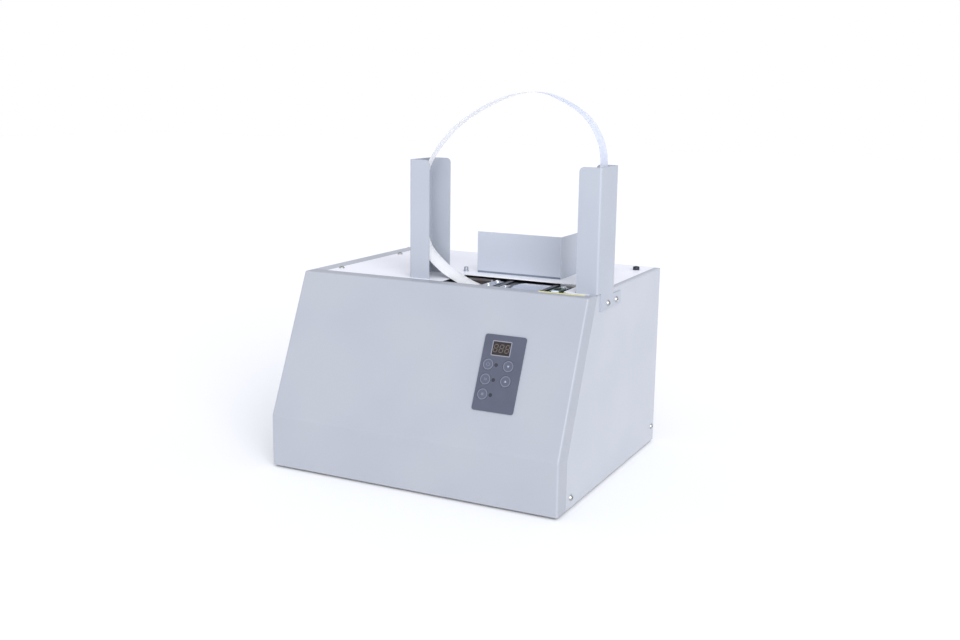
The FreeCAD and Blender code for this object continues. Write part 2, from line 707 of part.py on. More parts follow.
def build_side_panel(label, edge, inward, margin):
    """Side panel with its folded top, rear flange and screw holes, cut along the cover's seam."""
    panel = Folded(label)
    rear = BACK - S.sheet
    section = panel.sketch("XZ_Plane", -rear)
    panel.outline(section, panel_profile(edge, inward, margin))
    solid = panel.pad(section, S.body_depth - S.sheet)
    solid = panel.fillet(solid, [(edge, None, TABLE)], S.bend)
    flange = panel.sketch("XZ_Plane", -rear)
    panel.rectangle(flange, (edge, edge + inward * S.rear_flange), (SKIRT, TABLE - 2 * S.sheet))
    for x, z in REAR_SCREWS:
        if number(x) * inward < 0:
            panel.circle(flange, x, z, S.screw_shank + S.hole_gap)
    solid = panel.pad(flange, S.sheet)
    seam = S.flange_width + S.seam
    ahead = FRONT - S.overrun
    nose = panel.sketch("YZ_Plane", min((edge, edge + inward * S.sheet), key=number))
    panel.outline(nose, [(ahead, SKIRT - S.overrun), (ahead, TABLE + S.overrun),
                         (front_line(TABLE + S.overrun, seam), TABLE + S.overrun),
                         (FRONT + seam, knee_of(seam)), (FRONT + seam, SKIRT - S.overrun)])
    solid = panel.pocket(nose, S.sheet)
    corner = panel.sketch("XY_Plane", TABLE - 3 * S.sheet)
    inner = edge + inward * (margin + S.ledge + S.overrun)
    panel.rectangle(corner, (edge + inward * S.sheet, inner),
                    (ahead, FRONT + S.lip_back + S.seam))
    solid = panel.pocket(corner, 4 * S.sheet)
    holes = panel.sketch("YZ_Plane", edge - S.overrun)
    for y, z in SIDE_SCREWS:
        panel.circle(holes, y, z, S.screw_shank + S.hole_gap)
    solid = panel.pocket(holes, 2 * S.overrun)
    return panel, solid


def build_rear_panel():
    """Rear panel with two rows of air slots and the cut-outs of inlet and switch."""
    panel = Folded("rear_panel")
    page = panel.sketch("XZ_Plane", -BACK)
    panel.rectangle(page, (LEFT, RIGHT), (SKIRT, TABLE))
    solid = panel.pad(page, S.sheet)
    holes = panel.sketch("XZ_Plane", -BACK - S.overrun)
    for x, z in REAR_SCREWS:
        panel.circle(holes, x, z, S.screw_shank + S.hole_gap)
    panel.rectangle(holes, (S.inlet_left - S.inlet_body_width / 2 - S.layer_gap,
                            S.inlet_left + S.inlet_body_width / 2 + S.layer_gap),
                    (S.inlet_height - S.inlet_body_tall / 2 - S.layer_gap,
                     S.inlet_height + S.inlet_body_tall / 2 + S.layer_gap))
    width = S.switch_width - S.switch_flange
    tall = S.switch_tall - S.switch_flange
    panel.rectangle(holes, (S.switch_left - width / 2, S.switch_left + width / 2),
                    (S.inlet_height - tall / 2, S.inlet_height + tall / 2))
    solid = panel.pocket(holes, S.sheet + 2 * S.overrun)
    slot = panel.sketch("XZ_Plane", -BACK - S.overrun)
    for side in (-1, 1):
        middle = side * S.rear_slots_side
        panel.rectangle(slot, (middle - S.slot_length / 2, middle + S.slot_length / 2),
                        (S.rear_slots_height, S.rear_slots_height + S.slot_width))
    solid = panel.pocket(slot, S.sheet + 2 * S.overrun)
    return panel.finish(repeat(panel, solid, slot, "V_Axis"))


def repeat(sheet, feature, page, axis):
    """Repeat a feature in a straight row."""
    doc.recompute()
    row = sheet.body.newObject("PartDesign::LinearPattern", f"{sheet.label}_row{sheet.count}")
    row.Originals = [feature]
    row.Direction = (page, [axis])
    bind(row, "Length", S.slot_pitch * (S.slot_count - 1))
    bind(row, "Occurrences", S.slot_count)
    return row


def build_top_plate():
    """Table plate with the opening over the head and the slot for the left upright."""
    plate = Folded("top_plate")
    page = plate.sketch("XY_Plane", TABLE - S.sheet)
    west = LEFT + S.left_margin + S.seam
    east = RIGHT - S.right_margin - S.seam
    south = FRONT + S.lip_back + S.seam
    notch = FRONT + S.opening_back
    chop = S.opening_corner
    plate.outline(page, [(west, south), (-S.opening_left, south), (-S.opening_left, notch),
                         (OPENING_RIGHT, notch), (OPENING_RIGHT, south + chop),
                         (OPENING_RIGHT + chop, south), (east, south),
                         (east, BACK - S.sheet), (west, BACK - S.sheet)])
    solid = plate.pad(page, S.sheet)
    slots = plate.sketch("XY_Plane", TABLE - S.sheet - S.overrun)
    half = S.left_tab_width / 2 + S.seam
    plate.rectangle(slots, (-S.left_web - S.seam, -S.left_web + S.sheet + S.seam),
                    (STRAP_Y - half, STRAP_Y + half))
    plate.rectangle(slots, *STRAP_SLOT)
    for x, y in TABLE_SCREWS:
        plate.circle(slots, x, y, S.screw_shank + S.hole_gap)
    solid = plate.pocket(slots, S.sheet + 2 * S.overrun)
    return plate.finish(solid)


def build_base_pan():
    """Tray of the machine: a floor bent up at both sides, with welded end walls and air slots."""
    gap = S.sheet + S.layer_gap
    west = LEFT + gap
    east = RIGHT - gap
    south = FRONT + gap
    north = BACK - 2 * S.sheet - S.layer_gap
    top = S.pan_lift + S.pan_wall
    pan = Folded("pan_tray")
    page = pan.sketch("XZ_Plane", -north)
    pan.outline(page, [(west, S.pan_lift), (east, S.pan_lift), (east, top), (east - S.sheet, top),
                       (east - S.sheet, PAN_TOP), (west + S.sheet, PAN_TOP),
                       (west + S.sheet, top), (west, top)])
    solid = pan.pad(page, north - south)
    solid = pan.fillet(solid, [(side, None, S.pan_lift) for side in (west, east)], S.bend)
    holes = pan.sketch("YZ_Plane", LEFT - S.overrun)
    for y, z in SIDE_SCREWS:
        pan.circle(holes, y, z, S.screw_shank + S.hole_gap)
    solid = pan.pocket(holes, S.body_width + 2 * S.overrun)
    holes = pan.sketch("XY_Plane", S.pan_lift - S.overrun)
    for x, y in FOOT_SCREWS:
        pan.circle(holes, x, y, S.screw_shank + S.hole_gap)
    solid = pan.pocket(holes, 2 * S.overrun + S.sheet)
    slot = pan.sketch("XY_Plane", S.pan_lift - S.overrun)
    for side in (-1, 1):
        middle = side * S.rear_slots_side
        pan.rectangle(slot, (middle - S.slot_length / 2, middle + S.slot_length / 2),
                      (FRONT + S.pan_slots_front, FRONT + S.pan_slots_front + S.slot_width))
    solid = pan.pocket(slot, S.sheet + 2 * S.overrun)
    tray = pan.close(repeat(pan, solid, slot, "V_Axis"))
    between = (west + S.sheet, east - S.sheet)
    front = box("pan_front_wall", between, (south, south + S.sheet), (PAN_TOP, top))
    rear = box("pan_rear_blank", between, (north - S.sheet, north), (PAN_TOP, top))
    drills = [rod(f"pan_drill_{count}", Y, S.screw_shank + S.hole_gap, place_of,
                  (north - S.sheet - S.overrun, north + S.overrun))
              for count, place_of in enumerate(REAR_SCREWS) if number(place_of[1]) < number(top)]
    return node("base_pan", group("pan_and_walls", [tray, front, cut("pan_rear_wall", rear,
                                                                      drills)]))


def build_feet():
    """Four tapered rubber feet under the pan."""
    across = RIGHT - S.foot_inset
    along = BACK - S.foot_inset
    feet = [cone(f"foot_{column}_{row}", S.foot_tip_radius, S.foot_radius,
                 (column * across, row * along), (0 * S.pan_lift, S.pan_lift))
            for column in (-1, 1) for row in (-1, 1)]
    return node("rubber_feet", group("feet", feet))


# Uprights and what stands on the table

def build_upright(label, web, inward, tab):
    """U-channel whose open side faces the other one, with a tab that goes below the table."""
    upright = Folded(label)
    south = STRAP_Y - S.channel_width / 2
    north = STRAP_Y + S.channel_width / 2
    inner = web + inward * S.sheet
    free = web + inward * (S.channel_wall + S.sheet)
    page = upright.sketch("XY_Plane", TABLE)
    upright.outline(page, [(web, south), (free, south), (free, south + S.sheet),
                           (inner, south + S.sheet), (inner, north - S.sheet),
                           (free, north - S.sheet), (free, north), (web, north)])
    solid = upright.pad(page, S.upright_height)
    plane = upright.sketch("YZ_Plane", min((web, inner), key=number))
    upright.outline(plane, tab)
    solid = upright.pad(plane, S.sheet)
    holes = upright.sketch("YZ_Plane", web - S.overrun)
    screws = TAB_SCREWS if inward < 0 else LEFT_TAB_SCREWS
    for y, z in screws:
        upright.circle(holes, y, z, S.screw_shank + S.hole_gap)
    solid = upright.pocket(holes, 2 * S.overrun)
    top = TABLE + S.upright_height
    corners = [(free, None, top)]
    solid = upright.fillet(solid, corners, S.channel_corner)
    solid = upright.fillet(solid, [(web, side, None) for side in (south, north)], S.bend)
    return upright.finish(solid)


def build_uprights():
    """Both upright channels."""
    drop = TABLE - S.tab_drop
    shoulder = TABLE - S.tab_shoulder
    north = STRAP_Y + S.channel_width / 2
    tab_front = FRONT + S.tab_front
    tab_back = FRONT + S.tab_back
    build_upright("right_upright", RIGHT + S.sheet, -1,
                  [(tab_front, drop), (tab_front, TABLE), (north - S.bend, TABLE),
                   (north - S.bend, shoulder), (tab_back, shoulder), (tab_back, drop)])
    half = S.left_tab_width / 2
    low = TABLE - S.left_tab_drop
    build_upright("left_upright", -S.left_web, 1,
                  [(STRAP_Y - half, low), (STRAP_Y - half, TABLE), (STRAP_Y + half, TABLE),
                   (STRAP_Y + half, low)])


def build_stack_stop():
    """Plate that the stack of notes is pushed against, bent back at one side and at its foot."""
    stop = Folded("stack_stop")
    west = S.stop_left
    east = S.stop_left + S.stop_width
    south = FRONT + S.stop_from_front
    page = stop.sketch("XY_Plane", TABLE)
    stop.outline(page, [(west, south), (east, south), (east, south + S.stop_return),
                        (east - S.sheet, south + S.stop_return),
                        (east - S.sheet, south + S.sheet), (west, south + S.sheet)])
    solid = stop.pad(page, S.stop_height)
    foot = stop.sketch("XY_Plane", TABLE)
    stop.rectangle(foot, (west, east - S.sheet), (south + S.sheet, south + S.stop_foot))
    solid = stop.pad(foot, S.sheet)
    solid = stop.fillet(solid, [(None, south, TABLE), (east, south, None)], S.bend)
    return stop.finish(solid)


def build_table_details():
    """Edge trim on the lip, pin, stud and the screws of the table."""
    back = FRONT + S.lip_back
    east = RIGHT - S.trim_off_right
    node("edge_trim", box("trim", (east - S.trim_length, east), (back - S.trim_width, back),
                          (TABLE, TABLE + S.trim_thick)))
    pin = rod("pin", Z, S.pin_radius, (-S.pin_left, FRONT + S.pin_from_front),
              (TABLE, TABLE + S.pin_height))
    stud = rod("stud", Z, S.stud_radius, (RIGHT - S.stud_off_right, BACK - S.stud_off_back),
               (TABLE, TABLE + S.stud_height))
    small = rod("small_screw", Z, S.lip_screw_radius,
                (RIGHT - S.lip_screw_off, FRONT + S.lip_screw_front),
                (TABLE, TABLE + S.trim_thick))
    node("table_studs", group("studs", [pin, stud, small]))


def build_panel_screws():
    """Screws of the table, the side panels, the uprights and the rear panel."""
    screws = [screw(f"table_screw_{index}", Z, TABLE, centre, 1)
              for index, centre in enumerate(TABLE_SCREWS)]
    screws += [screw(f"side_screw_{side}_{index}", X, side * RIGHT, centre, side)
               for side in (-1, 1) for index, centre in enumerate(SIDE_SCREWS)]
    screws += [screw(f"tab_screw_{index}", X, RIGHT + S.sheet, centre, 1)
               for index, centre in enumerate(TAB_SCREWS)]
    screws += [screw(f"left_tab_screw_{index}", X, -S.left_web, centre, -1,
                     S.sheet + S.plate_thick)
               for index, centre in enumerate(LEFT_TAB_SCREWS)]
    screws += [screw(f"rear_screw_{index}", Y, BACK, centre, 1)
               for index, centre in enumerate(REAR_SCREWS)]
    node("panel_screws", group("panel_screw_set", screws))


def build_side_panels():
    """Both side panels; the right one also takes the screws of the upright's tab."""
    left, solid = build_side_panel("left_side_panel", LEFT, 1, S.left_margin)
    holes = left.sketch("XY_Plane", TABLE - 3 * S.sheet)
    for x, y in TABLE_SCREWS:
        left.circle(holes, x, y, S.screw_shank + S.hole_gap)
    left.finish(left.pocket(holes, 4 * S.sheet))
    right, solid = build_side_panel("right_side_panel", RIGHT, -1, S.right_margin)
    slot = right.sketch("XY_Plane", TABLE - 3 * S.sheet)
    right.rectangle(slot, *STRAP_SLOT)
    solid = right.pocket(slot, 4 * S.sheet)
    holes = right.sketch("YZ_Plane", RIGHT - S.overrun)
    for y, z in TAB_SCREWS:
        right.circle(holes, y, z, S.screw_shank + S.hole_gap)
    right.finish(right.pocket(holes, 2 * S.overrun))


# Control panel, built flat and then laid on the slanted front

KEYS = {
    "key_left_top": (S.key_left, S.key_low + 2 * S.key_step),
    "key_left_middle": (S.key_left, S.key_low + S.key_step),
    "key_left_bottom": (S.key_left, S.key_low),
    "key_right_top": (S.key_right, S.key_low + 2 * S.key_step),
    "key_right_middle": (S.key_right, S.key_low + S.key_step),
}


def build_control_panel():
    """Membrane with its window, lamps and keys, and the board behind the sheet."""
    west = S.panel_left
    east = S.panel_left + S.panel_width
    low = S.panel_low
    high = S.panel_low + S.panel_height
    top = S.panel_thick
    lamps = [(S.lamp_left, S.key_low + step * S.key_step) for step in range(3)]
    membrane = Folded("control_membrane")
    page = membrane.sketch("XY_Plane")
    membrane.rectangle(page, (west, east), (low, high))
    solid = membrane.pad(page, top)
    solid = membrane.fillet(solid, [(x, y, None) for x in (west, east) for y in (low, high)],
                            S.panel_corner)
    holes = membrane.sketch("XY_Plane", -S.overrun)
    membrane.rectangle(holes, *WINDOW)
    for x, y in KEYS.values():
        membrane.circle(holes, x, y, S.key_radius + S.key_gap)
    for x, y in lamps:
        membrane.circle(holes, x, y, S.lamp_radius)
    on_slant(membrane.finish(membrane.pocket(holes, top + 2 * S.overrun)))
    lens = box("lens", *WINDOW, (top - S.window_thick, top))
    on_slant(node("display_window", group("window", [lens])))
    glow = [rod(f"lamp_{index}", Z, S.lamp_radius, centre, (0 * top, top))
            for index, centre in enumerate(lamps)]
    on_slant(node("indicator_lamps", group("lamps", glow)))
    for label, centre in KEYS.items():
        key = rod(label + "_disc", Z, S.key_radius, centre, (S.key_travel + S.key_floor, top))
        on_slant(node(label, group(label + "_cap", [key])))
    inside = -S.sheet - S.board_gap
    edge = S.board_margin
    board = box("board", (west + edge, east - edge), (low + edge, high - edge),
                (inside - S.board_thick, inside))
    pitch = S.board_margin + S.standoff_inset
    posts = [rod(f"standoff_{column}_{row}", Z, S.standoff_radius,
                 (east - pitch if column else west + pitch, high - pitch if row else low + pitch),
                 (inside, -S.sheet))
             for column in (0, 1) for row in (0, 1)]
    across, along = WINDOW
    margin = S.module_margin
    module = box("module", (across[0] + margin, across[1] - margin),
                 (along[0] + margin, along[1] - margin), (inside, top - S.window_thick))
    on_slant(node("control_board", group("circuit", [board, module] + posts)))


# Paper strap

def biarc(start, heading, end, final):
    """Two tangent arcs from one place and direction to another, as (start, end) pairs."""
    chord = end - start
    both = heading + final
    bend = 2 * (1 - heading.dot(final))
    along = chord.dot(both)
    if bend < 1e-9:
        reach = chord.dot(chord) / (4 * chord.dot(final))
    else:
        reach = (-along + math.sqrt(along * along + bend * chord.dot(chord))) / bend
    middle = (start + end + (heading - final) * reach) * 0.5
    return [(start, middle), (middle, end)]


def left_of(direction):
    """The direction a quarter turn to the left, in the strap's plane."""
    return FreeCAD.Vector(-direction.z, 0, direction.x)


def strap_edges(places, offset):
    """Arcs and lines that run beside the strap's middle line at a distance."""
    edges = []
    for (start, heading), (end, final) in zip(places, places[1:]):
        direction = heading
        for low, high in biarc(start, heading, end, final):
            chord = high - low
            side = left_of(direction)
            sag = side.dot(chord)
            if abs(sag) < chord.Length * 1e-6:
                shift = side * offset
                edges.append(Part.LineSegment(low + shift, high + shift).toShape())
                continue
            radius = chord.dot(chord) / (2 * sag)
            centre = low + side * radius
            turn = ((low - centre) + (high - centre)).normalize()
            sign = 1 if radius > 0 else -1
            last = (centre - high) * (1 / radius)
            crown = centre + turn * (abs(radius) - sign * offset)
            edges.append(Part.Arc(low + side * offset, crown, high + last * offset).toShape())
            direction = FreeCAD.Vector(last.z, 0, -last.x)
    return edges


# Arch: shares of the way from channel to channel and of its rise, with the heading in degrees
ARCH_SHARES = ((0.0142, 0.266, 107.6), (0.0804, 0.604, 131.4), (0.2137, 0.876, 154.4),
               (0.3745, 1.0, 180), (0.5646, 0.888, 202), (0.7897, 0.535, 215.8),
               (0.9051, 0.211, 231.2))
# Left channel and tail: shares of the tail's run and of the uprights' height, with the heading
TAIL_SHARES = ((0.092, 0.96, 243), (0.016, 0.773, 263), (0.0, 0.54, 270), (0.031, 0.297, 287),
               (0.213, 0.163, 318.8), (0.516, 0.05, 331), (0.734, -0.023, 331),
               (0.915, -0.056, 347), (1.0, -0.063, 355))


def strap_route():
    """Places of the strap's middle line, each with its heading in degrees over the X axis."""
    turn = S.idler_radius + S.roller_gap + S.strap_thick / 2
    top = TABLE + S.upright_height
    right = RIGHT - S.strap_off_web
    left = -S.left_web + S.sheet + S.strap_off_left
    tail = CHUTE_EAST - S.tail_short - left
    route = [(REEL_X, RUN_Z, 0), (RUN_X - turn, RUN_Z, 0),
             (RUN_X, RUN_Z + turn, 90),
             (RUN_X, FEED_Z + S.feed_straight, 90),
             (right, TABLE + S.feed_straight, 90), (right, top, 90)]
    for across, up, heading in ARCH_SHARES:
        route.append((right - (right - left) * across, top + S.arch_rise * up, heading))
    for across, up, heading in TAIL_SHARES:
        route.append((left + tail * across, TABLE + S.upright_height * up, heading))
    return route


def build_strap():
    """Paper strap: reel, idler, feed rollers, right channel, free arch, left channel, tail.

    It is kept as lengths that meet end to end, one from each place of the route to the next."""
    route = [(FreeCAD.Vector(number(x), 0, number(z)),
              FreeCAD.Vector(math.cos(math.radians(turn)), 0, math.sin(math.radians(turn))))
             for x, z, turn in strap_route()]
    half = S.strap_thick.value / 2
    lengths = []
    total = 0
    for index, ends in enumerate(zip(route, route[1:])):
        upper = strap_edges(ends, half)
        lower = strap_edges(ends, -half)
        caps = []
        for place_now, heading in ends:
            side = left_of(heading) * half
            caps.append(Part.LineSegment(place_now + side, place_now - side).toShape())
        wire = Part.Wire(upper + [caps[1]] + lower[::-1] + [caps[0]])
        strap = doc.addObject("Part::Feature", f"paper_strap_{index}")
        strap.Shape = Part.Face(wire).extrude(Y * S.strap_width.value)
        lengths.append(place(strap, 0, STRAP_FRONT, 0))
        total += sum(edge.Length for edge in upper + lower) / 2
    print("strap length", round(total, 1))
    return node("paper_strap", group("strap_lengths", lengths))


# Strapping head

BLOCK_TOP = TABLE - S.block_drop
BLOCK_LOW = BLOCK_TOP - S.block_height
BLOCK_FRONT = STRAP_Y - S.block_depth / 2
BLOCK_BACK = STRAP_Y + S.block_depth / 2
FOLLOWER_TOP = BLOCK_LOW - S.follower_gap - S.press_travel
FOLLOWER_LOW = FOLLOWER_TOP - S.follower_thick
SHAFT_Z = FOLLOWER_LOW - S.follower_neck - S.cam_reach
CENTRES = S.gear_module * (S.gear_teeth + S.pinion_teeth) / 2
MOTOR_Y = STRAP_Y + root(CENTRES * CENTRES - S.motor_drop * S.motor_drop)
MOTOR_Z = SHAFT_Z - S.motor_drop
GEAR_EAST = -S.head_left - S.gear_clear
GEAR_WEST = GEAR_EAST - S.gear_width

# Presses: shares of the way from the left frame plate to the right one
PRESS_SHARES = (0.477, 0.69, 0.913)
PRESSES = {label: (HEAD_WEST + (HEAD_EAST - HEAD_WEST) * share, width)
           for label, share, width in zip(
               ("left_press", "centre_press", "right_press"), PRESS_SHARES,
               (S.side_press_width, S.centre_press_width, S.side_press_width))}
CHUTE_EAST = PRESSES["left_press"][0] - S.bridge_width / 2 - S.chute_clear
CHUTE_WEST = CHUTE_EAST - S.chute_width


def build_frame_plate(label, face, rear, foot, extra):
    """Upright plate of the head with a foot flange, the camshaft's bore and the strap's window."""
    plate = Folded(label)
    front = FRONT + S.plate_front
    page = plate.sketch("YZ_Plane", face)
    plate.rectangle(page, (front, rear), (PAN_TOP, TABLE - S.plate_drop))
    solid = plate.pad(page, S.plate_thick)
    flange = plate.sketch("XY_Plane", PAN_TOP)
    plate.rectangle(flange, foot, (front, rear))
    for x, y in FOOT_SCREWS:
        if number(foot[0]) < number(x) < number(foot[1]):
            plate.circle(flange, x, y, S.screw_shank + S.hole_gap)
    solid = plate.pad(flange, S.plate_thick)
    holes = plate.sketch("YZ_Plane", face - S.overrun)
    plate.circle(holes, STRAP_Y, SHAFT_Z, S.bush_radius)
    plate.rectangle(holes, (STRAP_FRONT - S.run_margin, STRAP_BACK + S.run_margin),
                    (S.run_low, S.run_high))
    for y, z, radius in extra:
        plate.circle(holes, y, z, radius)
    return plate.finish(plate.pocket(holes, S.plate_thick + 2 * S.overrun))


def build_head_frame():
    """Two frame plates, their tie rods, the bushes and the foot screws."""
    west = -S.head_left
    east = HEAD_EAST
    extra = [(y, z, S.screw_shank + S.hole_gap) for y, z in LEFT_TAB_SCREWS]
    extra.append((MOTOR_Y, MOTOR_Z, S.pinion_shaft + S.shaft_hole_gap))
    build_frame_plate("head_frame_left", west, FRONT + S.left_plate_back,
                      (HEAD_WEST, HEAD_WEST + S.plate_foot), extra)
    build_frame_plate("head_frame_right", east, FRONT + S.right_plate_back,
                      (east - S.plate_foot, east), [])
    front = FRONT + S.plate_front + S.rod_inset
    places = ((front, S.rod_low), (front, S.rod_high), (FRONT + S.rod_back, S.rod_low))
    rods = [rod(f"tie_rod_{index}", X, S.rod_radius, centre, (HEAD_WEST, east))
            for index, centre in enumerate(places)]
    node("frame_tie_rods", group("tie_rods", rods))
    bushes = []
    for side, span, collar in (("west", (west, HEAD_WEST), (HEAD_WEST, HEAD_WEST + S.bush_collar_thick)),
                               ("east", (east, east + S.plate_thick),
                                (east - S.bush_collar_thick, east))):
        centre = (STRAP_Y, SHAFT_Z)
        barrel = rod(f"bush_{side}_barrel", X, S.bush_radius, centre, span)
        ring = rod(f"bush_{side}_collar", X, S.bush_collar, centre, collar)
        ends = (min(span[0], collar[0], key=number) - S.overrun,
                max(span[1], collar[1], key=number) + S.overrun)
        bore = rod(f"bush_{side}_bore", X, S.shaft_radius + S.running_gap, centre, ends)
        bushes.append(cut(f"bush_{side}", fuse(f"bush_{side}_body", [barrel, ring]), [bore]))
    node("camshaft_bushes", group("bushes", bushes))
    screws = [screw(f"foot_screw_{index}", Z, PAN_TOP + S.plate_thick, centre, 1)
              for index, centre in enumerate(FOOT_SCREWS)]
    node("frame_screws", group("foot_screws", screws))


def build_guide_block():
    """Block between the frame plates with a guide hole for each press."""
    block = Folded("press_guide_block")
    page = block.sketch("XY_Plane", BLOCK_LOW)
    block.rectangle(page, (HEAD_WEST, HEAD_EAST), (BLOCK_FRONT, BLOCK_BACK))
    for middle, width in PRESSES.values():
        half = width / 2 + S.press_gap
        deep = S.press_depth / 2 + S.press_gap
        block.rectangle(page, (middle - half, middle + half), (STRAP_Y - deep, STRAP_Y + deep))
    return block.finish(block.pad(page, S.block_height))


def build_presses():
    """Three presses with serrated tops and follower feet; the centre one carries the cutter."""
    top = BLOCK_TOP + S.press_rise
    front = STRAP_Y - S.press_depth / 2
    back = STRAP_Y + S.press_depth / 2
    for label, (middle, width) in PRESSES.items():
        half = width / 2
        foot = half + S.follower_margin
        teeth = int(width.value / S.serration_pitch.value)
        step = width / teeth
        points = [(middle - foot, FOLLOWER_LOW), (middle + foot, FOLLOWER_LOW),
                  (middle + foot, FOLLOWER_TOP), (middle + half, FOLLOWER_TOP)]
        for tooth in range(teeth):
            points.append((middle + half - step * tooth, top - S.serration_depth))
            points.append((middle + half - step * (tooth + 0.5), top))
        points += [(middle - half, top - S.serration_depth), (middle - half, FOLLOWER_TOP),
                   (middle - foot, FOLLOWER_TOP)]
        press = Folded(label)
        page = press.sketch("XZ_Plane", -back)
        press.outline(page, points)
        solid = press.pad(page, S.press_depth)
        if label == "centre_press":
            east = middle + half - S.cutter_inset
            slot = press.sketch("XY_Plane", top + S.cutter_rise - S.cutter_height)
            press.rectangle(slot, (east - S.cutter_thick, east), (front - S.overrun, back + S.overrun))
            solid = press.pocket(slot, S.cutter_height + S.overrun)
            node("cutter_blade", box("cutter", (east - S.cutter_thick, east), (front, back),
                                     (top + S.cutter_rise - S.cutter_height, top + S.cutter_rise)))
        press.finish(solid)


def build_grip_and_anvil():
    """Grip bridges over the side presses, the anvil in its guide, the heater on its shelf."""
    bridges = []
    for label in ("left_press", "right_press"):
        middle = PRESSES[label][0]
        x = (middle - S.bridge_width / 2, middle + S.bridge_width / 2)
        high = BLOCK_TOP + S.bridge_height
        parts = [box(f"{label}_bar", x, (BLOCK_FRONT, BLOCK_BACK), (high - S.bridge_bar, high)),
                 box(f"{label}_front_leg", x, (BLOCK_FRONT, BLOCK_FRONT + S.bridge_leg),
                     (BLOCK_TOP, high)),
                 box(f"{label}_back_leg", x, (BLOCK_BACK - S.bridge_leg, BLOCK_BACK),
                     (BLOCK_TOP, high))]
        bridges.append(fuse(f"{label}_bridge", parts))
    node("grip_bridges", group("bridges", bridges))
    middle = PRESSES["centre_press"][0]
    low = BLOCK_TOP + S.anvil_lift
    outer = middle - PRESSES["left_press"][0] - S.bridge_width / 2 - S.rail_clear
    inner = outer - S.rail_width
    edge = inner + S.anvil_grip
    rear = BLOCK_FRONT + S.anvil_length
    node("anvil_plate", box("anvil", (middle - edge, middle + edge), (BLOCK_FRONT, rear),
                            (low, low + S.anvil_thick)))
    span = (BLOCK_FRONT, rear + S.anvil_travel)
    rails = []
    for side in (-1, 1):
        x = sorted((middle + side * inner, middle + side * outer), key=number)
        groove_x = sorted((middle + side * (inner - S.overrun), middle + side * (edge + S.rail_gap)),
                          key=number)
        rail = box(f"rail_{side}", x, span, (BLOCK_TOP, BLOCK_TOP + S.rail_height))
        groove = box(f"groove_{side}", groove_x, (span[0] - S.overrun, span[1] + S.overrun),
                     (low - S.rail_gap, low + S.anvil_thick + S.rail_gap))
        rails.append(cut(f"grooved_rail_{side}", rail, [groove]))
    shelf = box("shelf", (middle - outer, middle + outer),
                (BLOCK_BACK, BLOCK_BACK + S.shelf_length), (BLOCK_TOP - S.shelf_thick, BLOCK_TOP))
    node("anvil_guide", fuse("rails_and_shelf", rails + [shelf]))
    behind = STRAP_Y + S.press_depth / 2
    start = behind + S.heater_stop + S.heater_travel
    blade = low - S.blade_gap
    half = S.heater_width / 2
    node("heater_block", box("heater", (middle - half, middle + half),
                             (start, start + S.heater_length),
                             (BLOCK_TOP + S.rail_gap, blade - S.blade_thick)))
    half = S.blade_width / 2
    tip = behind + S.blade_rest
    node("heater_blade", box("blade", (middle - half, middle + half), (tip, tip + S.blade_length),
                             (blade - S.blade_thick, blade)))
    chute = Folded("strap_guide")
    page = chute.sketch("YZ_Plane", CHUTE_WEST)
    wall = STRAP_BACK + S.run_margin / 2
    chute.outline(page, [(BLOCK_FRONT, BLOCK_TOP), (wall + S.chute_wall, BLOCK_TOP),
                         (wall + S.chute_wall, BLOCK_TOP + S.chute_height),
                         (wall, BLOCK_TOP + S.chute_height), (wall, BLOCK_TOP + S.chute_floor),
                         (BLOCK_FRONT, BLOCK_TOP + S.chute_floor)])
    chute.finish(chute.pad(page, S.chute_width))


# Camshaft, gears and drive motor

def turned(direction, radius):
    """A vector in the YZ plane at an angle from Y towards Z."""
    return FreeCAD.Vector(0, radius * math.cos(direction), radius * math.sin(direction))


def cam_face(x, lobe):
    """Outline of a cam: base circle, nose circle and their two common tangents."""
    centre = FreeCAD.Vector(x, STRAP_Y.value, SHAFT_Z.value)
    base = S.cam_base.value
    nose = S.cam_nose.value
    offset = S.cam_reach.value - nose
    nose_centre = centre + turned(lobe, offset)
    spread = math.acos((base - nose) / offset)
    base_ends = [centre + turned(lobe + side * spread, base) for side in (-1, 1)]
    nose_ends = [nose_centre + turned(lobe + side * spread, nose) for side in (-1, 1)]
    edges = [Part.LineSegment(base_ends[1], nose_ends[1]).toShape(),
             Part.Arc(nose_ends[1], nose_centre + turned(lobe, nose), nose_ends[0]).toShape(),
             Part.LineSegment(nose_ends[0], base_ends[0]).toShape(),
             Part.Arc(base_ends[0], centre + turned(lobe + math.pi, base), base_ends[1]).toShape()]
    return Part.Face(Part.Wire(edges))


def half_tooth(teeth, radius):
    """Half the angle of a tooth at a radius, by its involute."""
    pressure = math.radians(S.pressure_angle.value)
    pitch = S.gear_module.value * teeth / 2
    base = pitch * math.cos(pressure)
    here = math.acos(min(1.0, base / max(radius, base)))
    thick = math.pi / (2 * teeth) - S.backlash.value / (2 * pitch)
    return thick + (math.tan(pressure) - pressure) - (math.tan(here) - here)


def gear_face(x, y, z, teeth, first):
    """Outline of a spur gear with one tooth centred at an angle."""
    centre = FreeCAD.Vector(x, y, z)
    module = S.gear_module.value
    pitch = module * teeth / 2
    foot = pitch - S.dedendum.value * module
    base = pitch * math.cos(math.radians(S.pressure_angle.value))
    radii = sorted({foot, max(base, foot), pitch, pitch + module})
    points = []
    for tooth in range(teeth):
        middle = first + 2 * math.pi * tooth / teeth
        points += [centre + turned(middle - half_tooth(teeth, r), r) for r in radii]
        points += [centre + turned(middle + half_tooth(teeth, r), r) for r in reversed(radii)]
    return Part.Face(Part.makePolygon(points + [points[0]]))


def solid_from(name, face, width):
    """A face drawn out along X, as an object of the document."""
    item = doc.addObject("Part::Feature", name)
    item.Shape = face.extrude(X * width.value)
    return item


